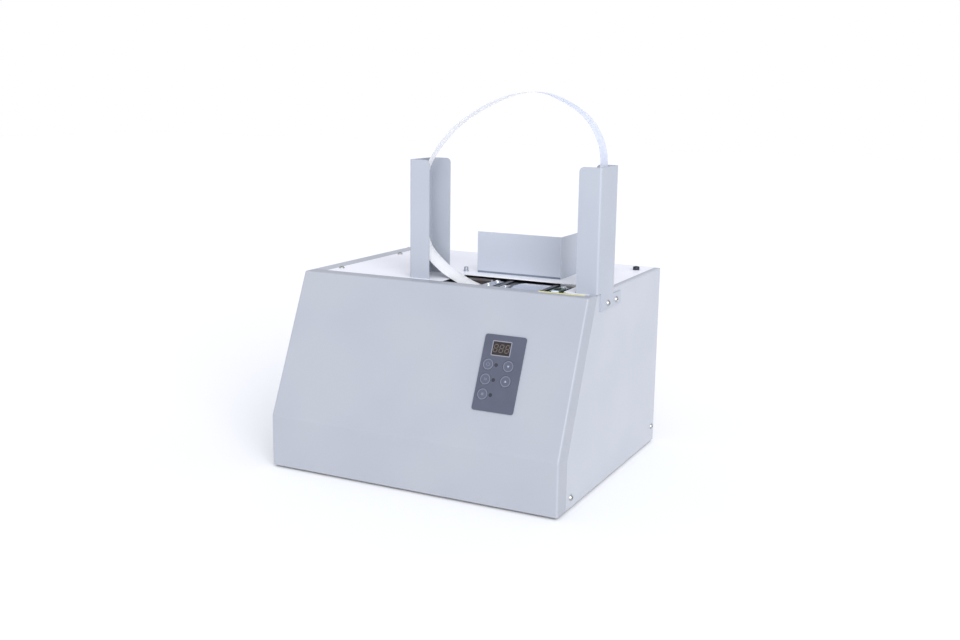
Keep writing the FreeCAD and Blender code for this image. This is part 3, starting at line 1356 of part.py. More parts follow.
def build_camshaft():
    """Camshaft, its three cams and the large gear."""
    centre = (STRAP_Y, SHAFT_Z)
    east = HEAD_EAST + S.plate_thick - S.roller_gap
    node("camshaft", rod("camshaft_bar", X, S.shaft_radius, centre,
                         (GEAR_WEST - S.gear_web, east)))
    cams = []
    lobes = {"left_press": 200, "centre_press": 270, "right_press": 340}
    for label, lobe in lobes.items():
        middle = PRESSES[label][0]
        west = middle - S.cam_width / 2
        blank = solid_from(label + "_cam_blank", cam_face(west.value, math.radians(lobe)),
                           S.cam_width)
        hub = rod(label + "_cam_hub", X, S.cam_hub_radius, centre, (west, west + S.cam_hub_width))
        bore = rod(label + "_cam_bore", X, S.shaft_radius, centre,
                   (west - S.overrun, west + S.cam_hub_width + S.overrun))
        cams.append(cut(label + "_cam", fuse(label + "_cam_body", [blank, hub]), [bore]))
    node("press_cams", group("cams", cams))
    toward = math.atan2(MOTOR_Z.value - SHAFT_Z.value, MOTOR_Y.value - STRAP_Y.value)
    teeth = int(S.gear_teeth.value)
    blank = solid_from("cam_gear_blank", gear_face(GEAR_WEST.value, STRAP_Y.value, SHAFT_Z.value,
                                                   teeth, toward), S.gear_width)
    rim = S.gear_module * (S.gear_teeth / 2 - S.dedendum) - S.gear_rim
    recess = sleeve("cam_gear_recess", X, (rim, S.gear_hub), centre,
                    (GEAR_WEST - S.overrun, GEAR_EAST - S.gear_web))
    holes = []
    for index in range(int(S.gear_holes.value)):
        angle = 2 * math.pi * index / S.gear_holes.value
        ring = (rim + S.gear_hub) / 2
        spot = (STRAP_Y + ring * math.cos(angle), SHAFT_Z + ring * math.sin(angle))
        holes.append(rod(f"cam_gear_hole_{index}", X, S.gear_hole, spot,
                         (GEAR_WEST - S.overrun, GEAR_EAST + S.overrun)))
    bore = rod("cam_gear_bore", X, S.shaft_radius, centre,
               (GEAR_WEST - S.overrun, GEAR_EAST + S.overrun))
    node("cam_gear", cut("cam_gear_body", blank, [recess, bore] + holes))
    count = int(S.pinion_teeth.value)
    pinion = solid_from("pinion_blank", gear_face(GEAR_WEST.value, MOTOR_Y.value, MOTOR_Z.value,
                                                  count, toward + math.pi + math.pi / count),
                        S.gear_width)
    shaft = rod("pinion_bar", X, S.pinion_shaft, (MOTOR_Y, MOTOR_Z),
                (GEAR_WEST, HEAD_WEST + S.pinion_depth))
    node("motor_pinion", fuse("pinion_body", [pinion, shaft]))


def build_drive_motor():
    """Gearbox on the left frame plate, the motor's can behind it and its bearing cap."""
    centre = (MOTOR_Y, MOTOR_Z)
    east = HEAD_WEST + S.gearbox_length
    case = rod("gearbox_case", X, S.gearbox_radius, centre, (HEAD_WEST, east))
    bore = rod("gearbox_bore", X, S.pinion_shaft + S.running_gap, centre,
               (HEAD_WEST - S.overrun, HEAD_WEST + S.pinion_depth + S.roller_gap))
    node("motor_gearbox", cut("gearbox", case, [bore]))
    can = rod("motor_can", X, S.motor_radius, centre, (east, east + S.motor_length))
    cap = rod("motor_cap", X, S.motor_cap_radius, centre,
              (east + S.motor_length, east + S.motor_length + S.motor_cap_length))
    node("drive_motor", fuse("motor", [can, cap]))


# Feed rollers, idler and reel

FEED_X = RUN_X - S.strap_thick / 2 - S.roller_gap - S.feed_radius
PINCH_X = RUN_X + S.strap_thick / 2 + S.roller_gap + S.pinch_radius
ROLLER_FRONT = STRAP_FRONT - S.roller_overlap
ROLLER_BACK = STRAP_BACK + S.roller_overlap
EAR_FRONT = ROLLER_FRONT - S.ear_gap
EAR_BACK = ROLLER_BACK + S.ear_gap
REEL_WEST = LEFT + S.sheet + S.reel_wall_gap
REEL_EAST = GEAR_WEST - S.reel_gear_gap
REEL_X = (REEL_WEST + REEL_EAST) / 2
REEL_FLANGE = (REEL_EAST - REEL_WEST) / 2
ROLL = REEL_FLANGE - S.flange_over_roll
REEL_Z = RUN_Z + S.strap_thick / 2 + S.strap_off_roll + ROLL


def forked(label, x, low, high, holes, slot=None):
    """U-shaped bracket round the rollers, open upwards, with holes for their pins."""
    bracket = Folded(label)
    page = bracket.sketch("YZ_Plane", x[0])
    thick = S.ear_thick
    bracket.outline(page, [(EAR_FRONT - thick, low), (EAR_BACK + thick, low),
                           (EAR_BACK + thick, high), (EAR_BACK, high), (EAR_BACK, low + thick),
                           (EAR_FRONT, low + thick), (EAR_FRONT, high), (EAR_FRONT - thick, high)])
    solid = bracket.pad(page, x[1] - x[0])
    bores = bracket.sketch("XZ_Plane", -(EAR_BACK + thick + S.overrun))
    for across, up, radius in holes:
        bracket.circle(bores, across, up, radius)
    solid = bracket.pocket(bores, EAR_BACK - EAR_FRONT + 2 * thick + 2 * S.overrun)
    if slot:
        opening = bracket.sketch("XY_Plane", low - S.overrun)
        bracket.rectangle(opening, *slot)
        solid = bracket.pocket(opening, thick + 2 * S.overrun)
    return bracket, solid


def build_feed():
    """Feed roller and motor, pinch roller, idler, and the two brackets that carry them."""
    face = HEAD_EAST + S.plate_thick
    low = FEED_Z - S.ear_low
    slot = ((RUN_X - S.run_margin / 2, RUN_X + S.run_margin / 2),
            (STRAP_FRONT - S.run_margin / 2, STRAP_BACK + S.run_margin / 2))
    bracket, solid = forked("feed_bracket", (face, face + S.ear_reach), low, low + S.ear_height,
                            [(FEED_X, FEED_Z, S.feed_shaft + S.running_gap),
                             (PINCH_X, FEED_Z, S.pinch_pin)], slot)
    foot = bracket.sketch("YZ_Plane", face)
    bracket.rectangle(foot, (EAR_FRONT - S.ear_thick, EAR_BACK + S.ear_thick),
                      (low - S.ear_foot, low))
    bracket.finish(bracket.pad(foot, S.ear_thick))
    outside = (EAR_FRONT - S.ear_thick, EAR_BACK + S.ear_thick)
    across = (ROLLER_FRONT, ROLLER_BACK)
    feed = rod("feed_roller_drum", Y, S.feed_radius, (FEED_X, FEED_Z), across)
    shaft = rod("feed_roller_shaft", Y, S.feed_shaft, (FEED_X, FEED_Z), outside)
    node("feed_roller", fuse("feed_roller_body", [feed, shaft]))
    node("pinch_roller", sleeve("pinch", Y, (S.pinch_radius, S.pinch_pin + S.running_gap),
                                (PINCH_X, FEED_Z), across))
    node("feed_motor", rod("feed_motor_can", Y, S.feed_motor_radius, (FEED_X, FEED_Z),
                           (outside[1] + S.roller_gap, outside[1] + S.feed_motor_length)))
    turn = S.idler_radius + S.roller_gap + S.strap_thick / 2
    idler = (RUN_X - turn, RUN_Z + turn)
    half = S.idler_post / 2
    bracket, solid = forked("idler_bracket", (idler[0] - half, idler[0] + half), PAN_TOP,
                            idler[1] + S.idler_post_top, [(idler[0], idler[1], S.idler_pin)])
    bracket.finish(solid)
    node("idler_roller", sleeve("idler", Y, (S.idler_radius, S.idler_pin + S.running_gap),
                                idler, across))
    pins = [rod("idler_pin_bar", Y, S.idler_pin, idler, outside),
            rod("pinch_pin_bar", Y, S.pinch_pin, (PINCH_X, FEED_Z), outside)]
    node("roller_pins", group("pins", pins))


def build_reel():
    """Reel with its paper roll on a spindle, and the stand that carries them."""
    centre = (REEL_X, REEL_Z)
    inner = (STRAP_FRONT - S.reel_side_gap, STRAP_BACK + S.reel_side_gap)
    outer = (inner[0] - S.reel_flange_thick, inner[1] + S.reel_flange_thick)
    parts = [rod("reel_core", Y, S.core_radius, centre, inner),
             rod("reel_front_flange", Y, REEL_FLANGE, centre, (outer[0], inner[0])),
             rod("reel_back_flange", Y, REEL_FLANGE, centre, (inner[1], outer[1]))]
    beyond = (outer[0] - S.overrun, outer[1] + S.overrun)
    tools = [rod("reel_bore", Y, S.spindle_radius + S.running_gap, centre, beyond)]
    ring = (S.core_radius + REEL_FLANGE) / 2
    window = (REEL_FLANGE - S.core_radius) / 2 - S.reel_window_edge
    for index in range(int(S.reel_windows.value)):
        angle = 2 * math.pi * (index + 0.5) / S.reel_windows.value
        spot = (centre[0] + ring * math.cos(angle), centre[1] + ring * math.sin(angle))
        tools.append(rod(f"reel_window_{index}", Y, window, spot, beyond))
    node("tape_reel", cut("reel", fuse("reel_body", parts), tools))
    node("paper_roll", sleeve("roll", Y, (ROLL, S.core_radius), centre,
                              (STRAP_FRONT, STRAP_BACK)))
    face = outer[1] + S.stand_gap
    tip = outer[0] - S.stand_gap
    spindle = [rod("spindle_bar", Y, S.spindle_radius, centre, (tip, face)),
               rod("spindle_end", Y, S.spindle_head, centre, (tip - S.spindle_head_thick, tip))]
    stand = Folded("stand_plate")
    page = stand.sketch("XZ_Plane", -(face + S.stand_thick))
    half = S.stand_width / 2
    top = REEL_Z + S.stand_top
    neck = S.spindle_head * 2
    stand.outline(page, [(centre[0] - half, PAN_TOP), (centre[0] + half, PAN_TOP),
                         (centre[0] + half, PAN_TOP + neck), (centre[0] + neck, top),
                         (centre[0] - neck, top), (centre[0] - half, PAN_TOP + neck)])
    solid = stand.pad(page, S.stand_thick)
    foot = stand.sketch("XY_Plane", PAN_TOP)
    stand.rectangle(foot, (centre[0] - half, centre[0] + half),
                    (face + S.stand_thick, face + S.stand_thick + S.plate_foot))
    plate = stand.close(stand.pad(foot, S.stand_thick))
    node("reel_stand", fuse("stand_and_spindle", [plate] + spindle))


# Power

# Contacts of the inlet: shares of the step across and of half the socket's height
CONTACT_SHARES = ((-1, -0.2), (0, 0.3), (1, -0.2))


def build_power():
    """Transformer, mains inlet with its contacts, and the power switch."""
    west = S.transformer_left
    east = west + S.transformer_width
    back = BACK - S.transformer_off_back
    front = back - S.transformer_depth
    top = PAN_TOP + S.transformer_height
    leg = S.core_leg
    middle = (west + east) / 2
    core = box("core", (west, east), (front, back), (PAN_TOP, top))
    windows = [box("core_window_west", (west + leg, middle - leg),
                   (front - S.overrun, back + S.overrun), (PAN_TOP + leg, top - leg)),
               box("core_window_east", (middle + leg, east - leg),
                   (front - S.overrun, back + S.overrun), (PAN_TOP + leg, top - leg))]
    laminated = cut("laminated_core", core, windows)
    coil = box("coil", (west + leg, east - leg), (front - S.coil_bulge, back + S.coil_bulge),
               (PAN_TOP + leg, top - leg))
    hollow = box("coil_hollow", (middle - leg, middle + leg), (front, back),
                 (PAN_TOP + leg - S.overrun, top - leg + S.overrun))
    node("transformer", group("core_and_coil", [laminated, cut("winding", coil, [hollow])]))
    inlet = Folded("inlet_body")
    face = BACK + S.inlet_flange
    page = inlet.sketch("XZ_Plane", -face)
    wide = S.inlet_width / 2
    tall = S.inlet_tall / 2
    inlet.rectangle(page, (S.inlet_left - wide, S.inlet_left + wide),
                    (S.inlet_height - tall, S.inlet_height + tall))
    solid = inlet.pad(page, S.inlet_flange)
    page = inlet.sketch("XZ_Plane", -BACK)
    wide = S.inlet_body_width / 2
    tall = S.inlet_body_tall / 2
    inlet.rectangle(page, (S.inlet_left - wide, S.inlet_left + wide),
                    (S.inlet_height - tall, S.inlet_height + tall))
    solid = inlet.pad(page, S.inlet_depth)
    mouth = inlet.sketch("XZ_Plane", -face)
    wide = S.inlet_mouth_width / 2
    tall = S.inlet_mouth_tall / 2
    inlet.outline(mouth, [(S.inlet_left - wide, S.inlet_height - tall),
                          (S.inlet_left + wide, S.inlet_height - tall),
                          (S.inlet_left + wide, S.inlet_height + tall / 2),
                          (S.inlet_left + wide - tall / 2, S.inlet_height + tall),
                          (S.inlet_left - wide + tall / 2, S.inlet_height + tall),
                          (S.inlet_left - wide, S.inlet_height + tall / 2)])
    housing = inlet.close(inlet.pocket(mouth, S.inlet_mouth_depth))
    floor = face - S.inlet_mouth_depth
    pins = []
    for index, (across, up) in enumerate(CONTACT_SHARES):
        x = S.inlet_left + across * S.contact_step
        z = S.inlet_height + up * S.inlet_mouth_tall / 2
        pins.append(box(f"contact_{index}", (x - S.contact_width / 2, x + S.contact_width / 2),
                        (floor, BACK), (z - S.contact_tall / 2, z + S.contact_tall / 2)))
    node("power_inlet", group("inlet_and_contacts", [housing] + pins))


def build_switch():
    """Bezel of the power switch and its rocker, which rests tipped to one side."""
    x = S.switch_left
    z = S.inlet_height
    frame = Folded("switch_frame")
    face = BACK + S.switch_flange
    page = frame.sketch("XZ_Plane", -face)
    wide = S.switch_width / 2
    tall = S.switch_tall / 2
    frame.rectangle(page, (x - wide, x + wide), (z - tall, z + tall))
    solid = frame.pad(page, S.switch_flange)
    page = frame.sketch("XZ_Plane", -BACK)
    wide = (S.switch_width - S.switch_flange) / 2 - S.layer_gap
    tall = (S.switch_tall - S.switch_flange) / 2 - S.layer_gap
    frame.rectangle(page, (x - wide, x + wide), (z - tall, z + tall))
    solid = frame.pad(page, S.switch_depth)
    well = frame.sketch("XZ_Plane", -face)
    wide = S.rocker_width / 2 + S.rocker_gap
    tall = S.rocker_tall / 2 + S.rocker_gap
    frame.rectangle(well, (x - wide, x + wide), (z - tall, z + tall))
    frame.finish(frame.pocket(well, S.switch_flange + S.switch_depth / 2))
    rocker = Folded("power_rocker")
    page = rocker.sketch("YZ_Plane", -S.rocker_width / 2)
    half = S.rocker_tall / 2
    deep = S.switch_flange + S.rocker_gap
    rocker.outline(page, [(-deep, -half / 2), (0 * half, -half), (S.rocker_rise, -half),
                          (S.rocker_gap, 0), (S.rocker_rise, half), (0 * half, half),
                          (-deep, half / 2)])
    rocker.finish(rocker.pad(page, S.rocker_width))
    tilt = FreeCAD.Rotation(X, S.rocker_tilt.value)
    rocker.body.Placement = FreeCAD.Placement(FreeCAD.Vector(), tilt)
    place(rocker.body, x, face - S.rocker_gap, z)


def check(items):
    """Stop at the first object that failed or gave no proper solid."""
    for item in doc.Objects:
        for state in item.State:
            if state in ("Invalid", "Error"):
                raise RuntimeError(f"{item.Label} failed: {item.getStatusString()}")
    for item in items:
        if item.Shape.isNull() or not item.Shape.isValid() or not item.Shape.Solids:
            raise RuntimeError(f"{item.Label} has no valid solid")


def main():
    """Build every piece, check it and write it out."""
    for build in (build_front_cover, build_side_panels, build_rear_panel, build_top_plate,
                  build_base_pan, build_feet, build_uprights, build_stack_stop,
                  build_table_details, build_panel_screws, build_control_panel, build_strap,
                  build_head_frame, build_guide_block, build_presses, build_grip_and_anvil,
                  build_camshaft, build_drive_motor, build_feed, build_reel, build_power,
                  build_switch):
        build()
    doc.recompute()
    check(NODES)
    os.makedirs("parts", exist_ok=True)
    for item in NODES:
        item.Shape.exportStep(f"parts/{item.Label}.step")
    print(len(NODES), "nodes,", sum(len(item.Shape.Solids) for item in NODES), "solids")


main()
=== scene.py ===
"""Looks of a banknote strapping machine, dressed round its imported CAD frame.

Every length is in millimetres until a mesh is written, and the CAD nodes keep their places.
"""

import logging
from dataclasses import dataclass, field
from enum import Enum

import bpy
import numpy as np
from mathutils import Matrix, Vector


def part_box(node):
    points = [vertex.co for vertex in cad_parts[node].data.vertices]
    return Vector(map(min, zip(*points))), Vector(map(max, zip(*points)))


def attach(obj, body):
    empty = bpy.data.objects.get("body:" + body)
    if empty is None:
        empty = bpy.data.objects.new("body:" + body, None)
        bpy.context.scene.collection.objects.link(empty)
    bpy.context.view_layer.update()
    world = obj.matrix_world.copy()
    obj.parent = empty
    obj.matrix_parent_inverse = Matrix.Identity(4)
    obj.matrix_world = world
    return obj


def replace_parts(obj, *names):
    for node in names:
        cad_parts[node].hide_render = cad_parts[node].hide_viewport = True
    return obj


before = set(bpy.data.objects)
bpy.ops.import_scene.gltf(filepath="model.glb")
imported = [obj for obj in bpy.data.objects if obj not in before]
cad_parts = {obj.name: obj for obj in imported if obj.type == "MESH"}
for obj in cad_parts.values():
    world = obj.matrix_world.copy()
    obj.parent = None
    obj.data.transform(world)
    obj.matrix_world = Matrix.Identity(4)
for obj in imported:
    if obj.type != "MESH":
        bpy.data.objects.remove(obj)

MM = 0.001
LOG = logging.getLogger("strapping_machine")
Place = tuple[float, float, float]
Colour = tuple[float, float, float, float]

# ---------------------------------------------------------------------------------------------
# Colours and shader nodes
# ---------------------------------------------------------------------------------------------


def linear(code: str) -> Colour:
    """Turn an sRGB hex colour into the linear colour that shaders take.

    Args:
        code: Six hex digits, with or without a leading number sign.

    Returns:
        Red, green, blue and an alpha of one.
    """
    digits = code.lstrip("#")
    srgb = np.array([int(digits[i : i + 2], 16) for i in (0, 2, 4)]) / 255
    value = np.where(srgb <= 0.04045, srgb / 12.92, ((srgb + 0.055) / 1.055) ** 2.4)
    return (float(value[0]), float(value[1]), float(value[2]), 1.0)


def grey(level: float) -> Colour:
    """Linear grey of one level."""
    return (level, level, level, 1.0)


def add(
    tree: bpy.types.NodeTree, kind: str, links: dict | None = None, **settings: object
) -> bpy.types.Node:
    """Add one node with its settings and links.

    Args:
        tree: The node tree that takes the node.
        kind: Blender's name for the kind of node.
        links: Socket name or number to a constant or to another node's output.
        **settings: Properties of the node.

    Returns:
        The new node.
    """
    item = tree.nodes.new(kind)
    for name, value in settings.items():
        setattr(item, name, value)
    for socket, source in (links or {}).items():
        target = item.inputs[socket]
        if isinstance(source, bpy.types.NodeSocket):
            tree.links.new(source, target)
        else:
            target.default_value = source
    return item


@dataclass
class Coat:
    """A material in the making: its node tree, its shader and its Object coordinates."""

    tree: bpy.types.NodeTree
    shader: bpy.types.Node
    place: bpy.types.NodeSocket

    def clouds(
        self, size: float, detail: float = 2.0, stretch: Place = (1, 1, 1)
    ) -> bpy.types.NodeSocket:
        """Noise whose blotches have a real size.

        Args:
            size: Size of a blotch in millimetres.
            detail: Octaves of finer noise.
            stretch: Length of a blotch along each axis, as a share of its size.

        Returns:
            The pattern, about 0.5 on average.
        """
        scale = tuple(1 / (size * MM * share) for share in stretch)
        scaled = add(self.tree, "ShaderNodeMapping", {"Vector": self.place, "Scale": scale})
        links = {"Vector": scaled.outputs["Vector"], "Scale": 1.0, "Detail": detail}
        return add(self.tree, "ShaderNodeTexNoise", links).outputs["Fac"]

    def tints(
        self,
        pattern: bpy.types.NodeSocket,
        shade: str,
        tint: str,
        low: float = 0.35,
        high: float = 0.65,
    ) -> bpy.types.NodeSocket:
        """Blend two hex colours over a pattern.

        Args:
            pattern: The pattern, from 0 to 1.
            shade: Colour where the pattern is low.
            tint: Colour where it is high.
            low: Pattern value up to which the shade is pure.
            high: Pattern value from which the tint is pure.

        Returns:
            The blended colour.
        """
        item = add(self.tree, "ShaderNodeValToRGB", {"Fac": pattern})
        stops = ((low, shade), (high, tint))
        for element, (place, code) in zip(item.color_ramp.elements, stops):
            element.position = place
            element.color = linear(code)
        return item.outputs["Color"]

    def painted_shade(self, colour: bpy.types.NodeSocket, code: str) -> bpy.types.NodeSocket:
        """Paint shade: turn a colour to a darker one where the mesh's recess attribute says so.

        Args:
            colour: The plain colour.
            code: Hex colour of the painted shade, where the attribute is one.

        Returns:
            The blended colour.
        """
        share = add(self.tree, "ShaderNodeAttribute", attribute_name="recess").outputs["Fac"]
        links = {"Factor": share, 6: colour, 7: linear(code)}
        return add(self.tree, "ShaderNodeMix", links, data_type="RGBA").outputs[2]

    def colour(self, source: bpy.types.NodeSocket) -> None:
        """Make a colour the surface's own."""
        self.tree.links.new(source, self.shader.inputs["Base Color"])

    def gloss(self, pattern: bpy.types.NodeSocket, low: float, high: float) -> None:
        """Let the roughness run from one value to another over a pattern.

        Args:
            pattern: The pattern, from 0 to 1, with most of its area from 0.3 to 0.7.
            low: Roughness where the pattern is low.
            high: Roughness where it is high.
        """
        links = {"Value": pattern, "From Min": 0.3, "From Max": 0.7, "To Min": low, "To Max": high}
        item = add(self.tree, "ShaderNodeMapRange", links)
        self.tree.links.new(item.outputs["Result"], self.shader.inputs["Roughness"])

    def relief(self, height: bpy.types.NodeSocket, depth: float) -> None:
        """Bump the shader's normal by a height of a real depth.

        Args:
            height: Height from 0 to 1.
            depth: Depth of the relief in millimetres.
        """
        links = {"Height": height, "Distance": depth * MM, "Strength": 1.0}
        item = add(self.tree, "ShaderNodeBump", links)
        self.tree.links.new(item.outputs["Normal"], self.shader.inputs["Normal"])

    def fix(self, values: dict[str, object]) -> None:
        """Set sockets of the shader that are the same all over the surface."""
        for socket, value in values.items():
            self.shader.inputs[socket].default_value = value


@dataclass(frozen=True)
class Finish:
    """A finish: what the piece is made of and how its surface was made."""

    name: str

    def make(self) -> bpy.types.Material:
        """Build the material once and return it on later calls.

        Returns:
            The material of this finish.
        """
        known = bpy.data.materials.get(self.name)
        if known:
            return known
        material = bpy.data.materials.new(self.name)
        material.use_nodes = True
        tree = material.node_tree
        tree.nodes.clear()
        place = add(tree, "ShaderNodeTexCoord").outputs["Object"]
        shader = add(tree, "ShaderNodeBsdfPrincipled")
        self.paint(Coat(tree, shader, place))
        add(tree, "ShaderNodeOutputMaterial", {"Surface": shader.outputs["BSDF"]})
        return material

    def paint(self, coat: Coat) -> None:
        """Fill the shader; each finish has its own.

        Args:
            coat: The material in the making.
        """
        raise NotImplementedError


@dataclass(frozen=True)
class PowderCoat(Finish):
    """Polyester powder coat on steel: satin, with the soft orange peel that baking leaves."""

    tint: str = "#D4D8E2"
    shade: str = "#CFD3DE"
    roughness: float = 0.42
    peel: float = 2.6  # real orange peel is about 1.5 mm; drawn coarser so that it shows
    depth: float = 0.012
    cloud: float = 90.0

    def paint(self, coat: Coat) -> None:
        """Two close tints in broad clouds, orange peel as relief, uneven satin gloss.

        Args:
            coat: The material in the making.
        """
        coat.colour(coat.tints(coat.clouds(self.cloud, 1.0), self.shade, self.tint))
        peel = coat.clouds(self.peel, 1.5)
        coat.gloss(peel, self.roughness - 0.04, self.roughness + 0.05)
        coat.fix({"IOR": 1.5, "Specular IOR Level": 0.45})
        coat.relief(peel, self.depth)


@dataclass(frozen=True)
class ZincPlate(Finish):
    """Zinc plating, clear passivated: a grey metal with faint warm and cold spangles."""

    cold: str = "#A9AFB8"
    warm: str = "#B8B5A8"
    recess_shade: str = "#1E1E20"  # painted shade in a screw's recess, by the recess attribute
    roughness: float = 0.36
    blotch: float = 14.0
    streak: float = 1.2
    depth: float = 0.006

    def paint(self, coat: Coat) -> None:
        """Cold and warm blotches of the passivation, painted shade in screw recesses and a brushed
        roughness.

        Args:
            coat: The material in the making.
        """
        colour = coat.tints(coat.clouds(self.blotch, 3.0), self.cold, self.warm, 0.35, 0.7)
        # painted shade: the recess attribute darkens the zinc inside screw recesses
        coat.colour(coat.painted_shade(colour, self.recess_shade))
        streak = coat.clouds(self.streak, 2.0, (8, 8, 1))
        coat.gloss(streak, self.roughness - 0.07, self.roughness + 0.1)
        coat.fix({"Metallic": 1.0})
        coat.relief(streak, self.depth)


class Lay(Enum):
    """Direction of a tool's marks, as how far a mark runs along each axis."""

    ACROSS = (30, 1, 1)
    ALONG = (1, 30, 1)


@dataclass(frozen=True)
class GroundMetal(Finish):
    """Ground or milled metal: fine straight tool marks that stretch its highlights."""

    tint: str = "#9BA0A8"
    dark: str = "#7E838B"
    roughness: float = 0.28
    mark: float = 0.7  # real grinding lines are about 0.1 mm; drawn coarser so that they show
    lay: Lay = Lay.ACROSS
    depth: float = 0.004

    def paint(self, coat: Coat) -> None:
        """Streaks along the lay in colour, roughness and relief.

        Args:
            coat: The material in the making.
        """
        streak = coat.clouds(self.mark, 3.0, self.lay.value)
        coat.colour(coat.tints(streak, self.dark, self.tint, 0.3, 0.65))
        coat.gloss(streak, self.roughness + 0.08, self.roughness - 0.05)
        coat.fix({"Metallic": 1.0})
        coat.relief(streak, self.depth)


@dataclass(frozen=True)
class Moulded(Finish):
    """Injection-moulded plastic: even colour with the fine spark-eroded grain of its mould."""

    tint: str = "#1B1B1D"
    shade: str = "#151517"
    roughness: float = 0.5
    grain: float = 0.8  # real grain is about 0.05 mm; drawn coarser so that it shows
    depth: float = 0.01
    cloud: float = 30.0

    def paint(self, coat: Coat) -> None:
        """Close tints, grain as relief and in the gloss.

        Args:
            coat: The material in the making.
        """
        grain = coat.clouds(self.grain, 2.0)
        coat.colour(coat.tints(coat.clouds(self.cloud, 1.0), self.shade, self.tint))
        coat.gloss(grain, self.roughness - 0.06, self.roughness + 0.06)
        coat.fix({"IOR": 1.53})
        coat.relief(grain, self.depth)


@dataclass(frozen=True)
class Rubber(Moulded):
    """Vulcanised rubber: dull, with a coarser grain than the moulded plastic."""

    tint: str = "#2A2A2C"
    shade: str = "#1C1C1E"
    roughness: float = 0.78
    grain: float = 1.4
    depth: float = 0.03


@dataclass(frozen=True)
class KraftPaper(Finish):
    """Bleached kraft paper: fibres lie along the strap, light passes a little, and the face outside
    the loop is darkened as painted shade.
    """

    tint: str = "#F2F3F6"
    shade: str = "#ECEEF2"
    outer: str = "#B0B5C3"  # painted shade on the face outside the loop, by the recess attribute
    fibre: float = 1.6
    depth: float = 0.003
    glow: float = 2.0

    def paint(self, coat: Coat) -> None:
        """Fibre streaks in colour and relief, painted shade on the outer face, a matt sheen and
        light within the sheet.

        Args:
            coat: The material in the making.
        """
        fibres = coat.clouds(self.fibre, 3.0, (6, 1, 6))
        # painted shade: the outer face takes the darker colour by the recess attribute
        coat.colour(coat.painted_shade(coat.tints(fibres, self.shade, self.tint), self.outer))
        coat.fix({"Roughness": 0.72, "IOR": 1.45, "Specular IOR Level": 0.25})
        coat.fix(
            {
                "Subsurface Weight": 1.0,
                "Subsurface Radius": (1.0, 1.0, 1.0),
                "Subsurface Scale": self.glow * MM,
            }
        )
        coat.relief(fibres, self.depth)


@dataclass(frozen=True)
class WoundPaper(Finish):
    """Edges of a roll of paper strap: many fine rings round the reel's axis."""

    axis: Place = (0, 0, 0)
    tint: str = "#F2F1EE"
    shade: str = "#D9D7D2"
    pitch: float = 1.2  # a turn is 0.12 mm thick; ten turns are drawn as one
    gap: float = 0.25
    depth: float = 0.05

    def paint(self, coat: Coat) -> None:
        """Rings of the wound turns: the distance from the axis over the pitch, less its whole part.

        Args:
            coat: The material in the making.
        """
        middle = [-way * MM for way in self.axis]
        moved = add(coat.tree, "ShaderNodeMapping", {"Vector": coat.place, "Location": middle})
        links = {0: moved.outputs["Vector"], 1: (1, 0, 1)}
        flat = add(coat.tree, "ShaderNodeVectorMath", links, operation="MULTIPLY")
        links = {0: flat.outputs["Vector"]}
        reach = add(coat.tree, "ShaderNodeVectorMath", links, operation="LENGTH")
        links = {0: reach.outputs["Value"], 1: 1 / (self.pitch * MM)}
        laps = add(coat.tree, "ShaderNodeMath", links, operation="MULTIPLY")
        links = {0: laps.outputs["Value"]}
        ring = add(coat.tree, "ShaderNodeMath", links, operation="FRACT").outputs["Value"]
        coat.colour(coat.tints(ring, self.shade, self.tint, 0.0, self.gap))
        coat.fix({"Roughness": 0.8})
        coat.relief(ring, self.depth)


@dataclass(frozen=True)
class PrintedFilm(Finish):
    """Screen-printed polyester film, fine-textured: the face of a membrane keypad."""

    tint: str = "#575C70"
    shade: str = "#52576B"
    roughness: float = 0.46
    velvet: float = 0.9  # real texture is about 0.1 mm; drawn coarser so that it shows
    cloud: float = 22.0
    depth: float = 0.008

    def paint(self, coat: Coat) -> None:
        """Velvet texture of the film over an even print.

        Args:
            coat: The material in the making.
        """
        velvet = coat.clouds(self.velvet, 2.0)
        coat.colour(coat.tints(coat.clouds(self.cloud, 2.0), self.shade, self.tint, 0.3, 0.7))
        coat.gloss(velvet, self.roughness - 0.05, self.roughness + 0.05)
        coat.fix({"IOR": 1.57})
        coat.relief(velvet, self.depth)


@dataclass(frozen=True)
class ClearLens(Finish):
    """Tinted acrylic with a polished face: display window and lamps."""

    tint: str = "#2B2524"
    shade: str = "#221D1D"
    roughness: float = 0.12
    cloud: float = 9.0
    wipe: float = 3.0

    def paint(self, coat: Coat) -> None:
        """Dark tint that shifts a little in depth, under a polished face with faint wipe marks.

        Args:
            coat: The material in the making.
        """
        coat.colour(coat.tints(coat.clouds(self.cloud, 1.0), self.shade, self.tint, 0.3, 0.7))
        wipe = coat.clouds(self.wipe, 2.0, (4, 1, 1))
        coat.gloss(wipe, self.roughness - 0.02, self.roughness + 0.05)
        coat.fix({"IOR": 1.49})


@dataclass(frozen=True)
class BoardLaminate(Finish):
    """Glass-fibre board with green solder resist over its copper tracks."""

    tint: str = "#35574A"
    track: str = "#4C6E60"
    track_width: float = 0.35
    pad_step: float = 2.54
    run: float = 6.0
    depth: float = 0.03

    def paint(self, coat: Coat) -> None:
        """Tracks show as lighter lines of a brick-like grid under the resist.

        Args:
            coat: The material in the making.
        """
        scale = (1 / MM,) * 3
        scaled = add(coat.tree, "ShaderNodeMapping", {"Vector": coat.place, "Scale": scale})
        links = {
            "Vector": scaled.outputs["Vector"],
            "Scale": 1.0,
            "Mortar Size": self.track_width,
            "Brick Width": self.run,
            "Row Height": self.pad_step,
            "Color1": linear(self.tint),
            "Color2": linear(self.tint),
            "Mortar": linear(self.track),
        }
        tracks = add(coat.tree, "ShaderNodeTexBrick", links)
        coat.colour(tracks.outputs["Color"])
        coat.fix({"Roughness": 0.3})
        coat.relief(tracks.outputs["Fac"], self.depth)


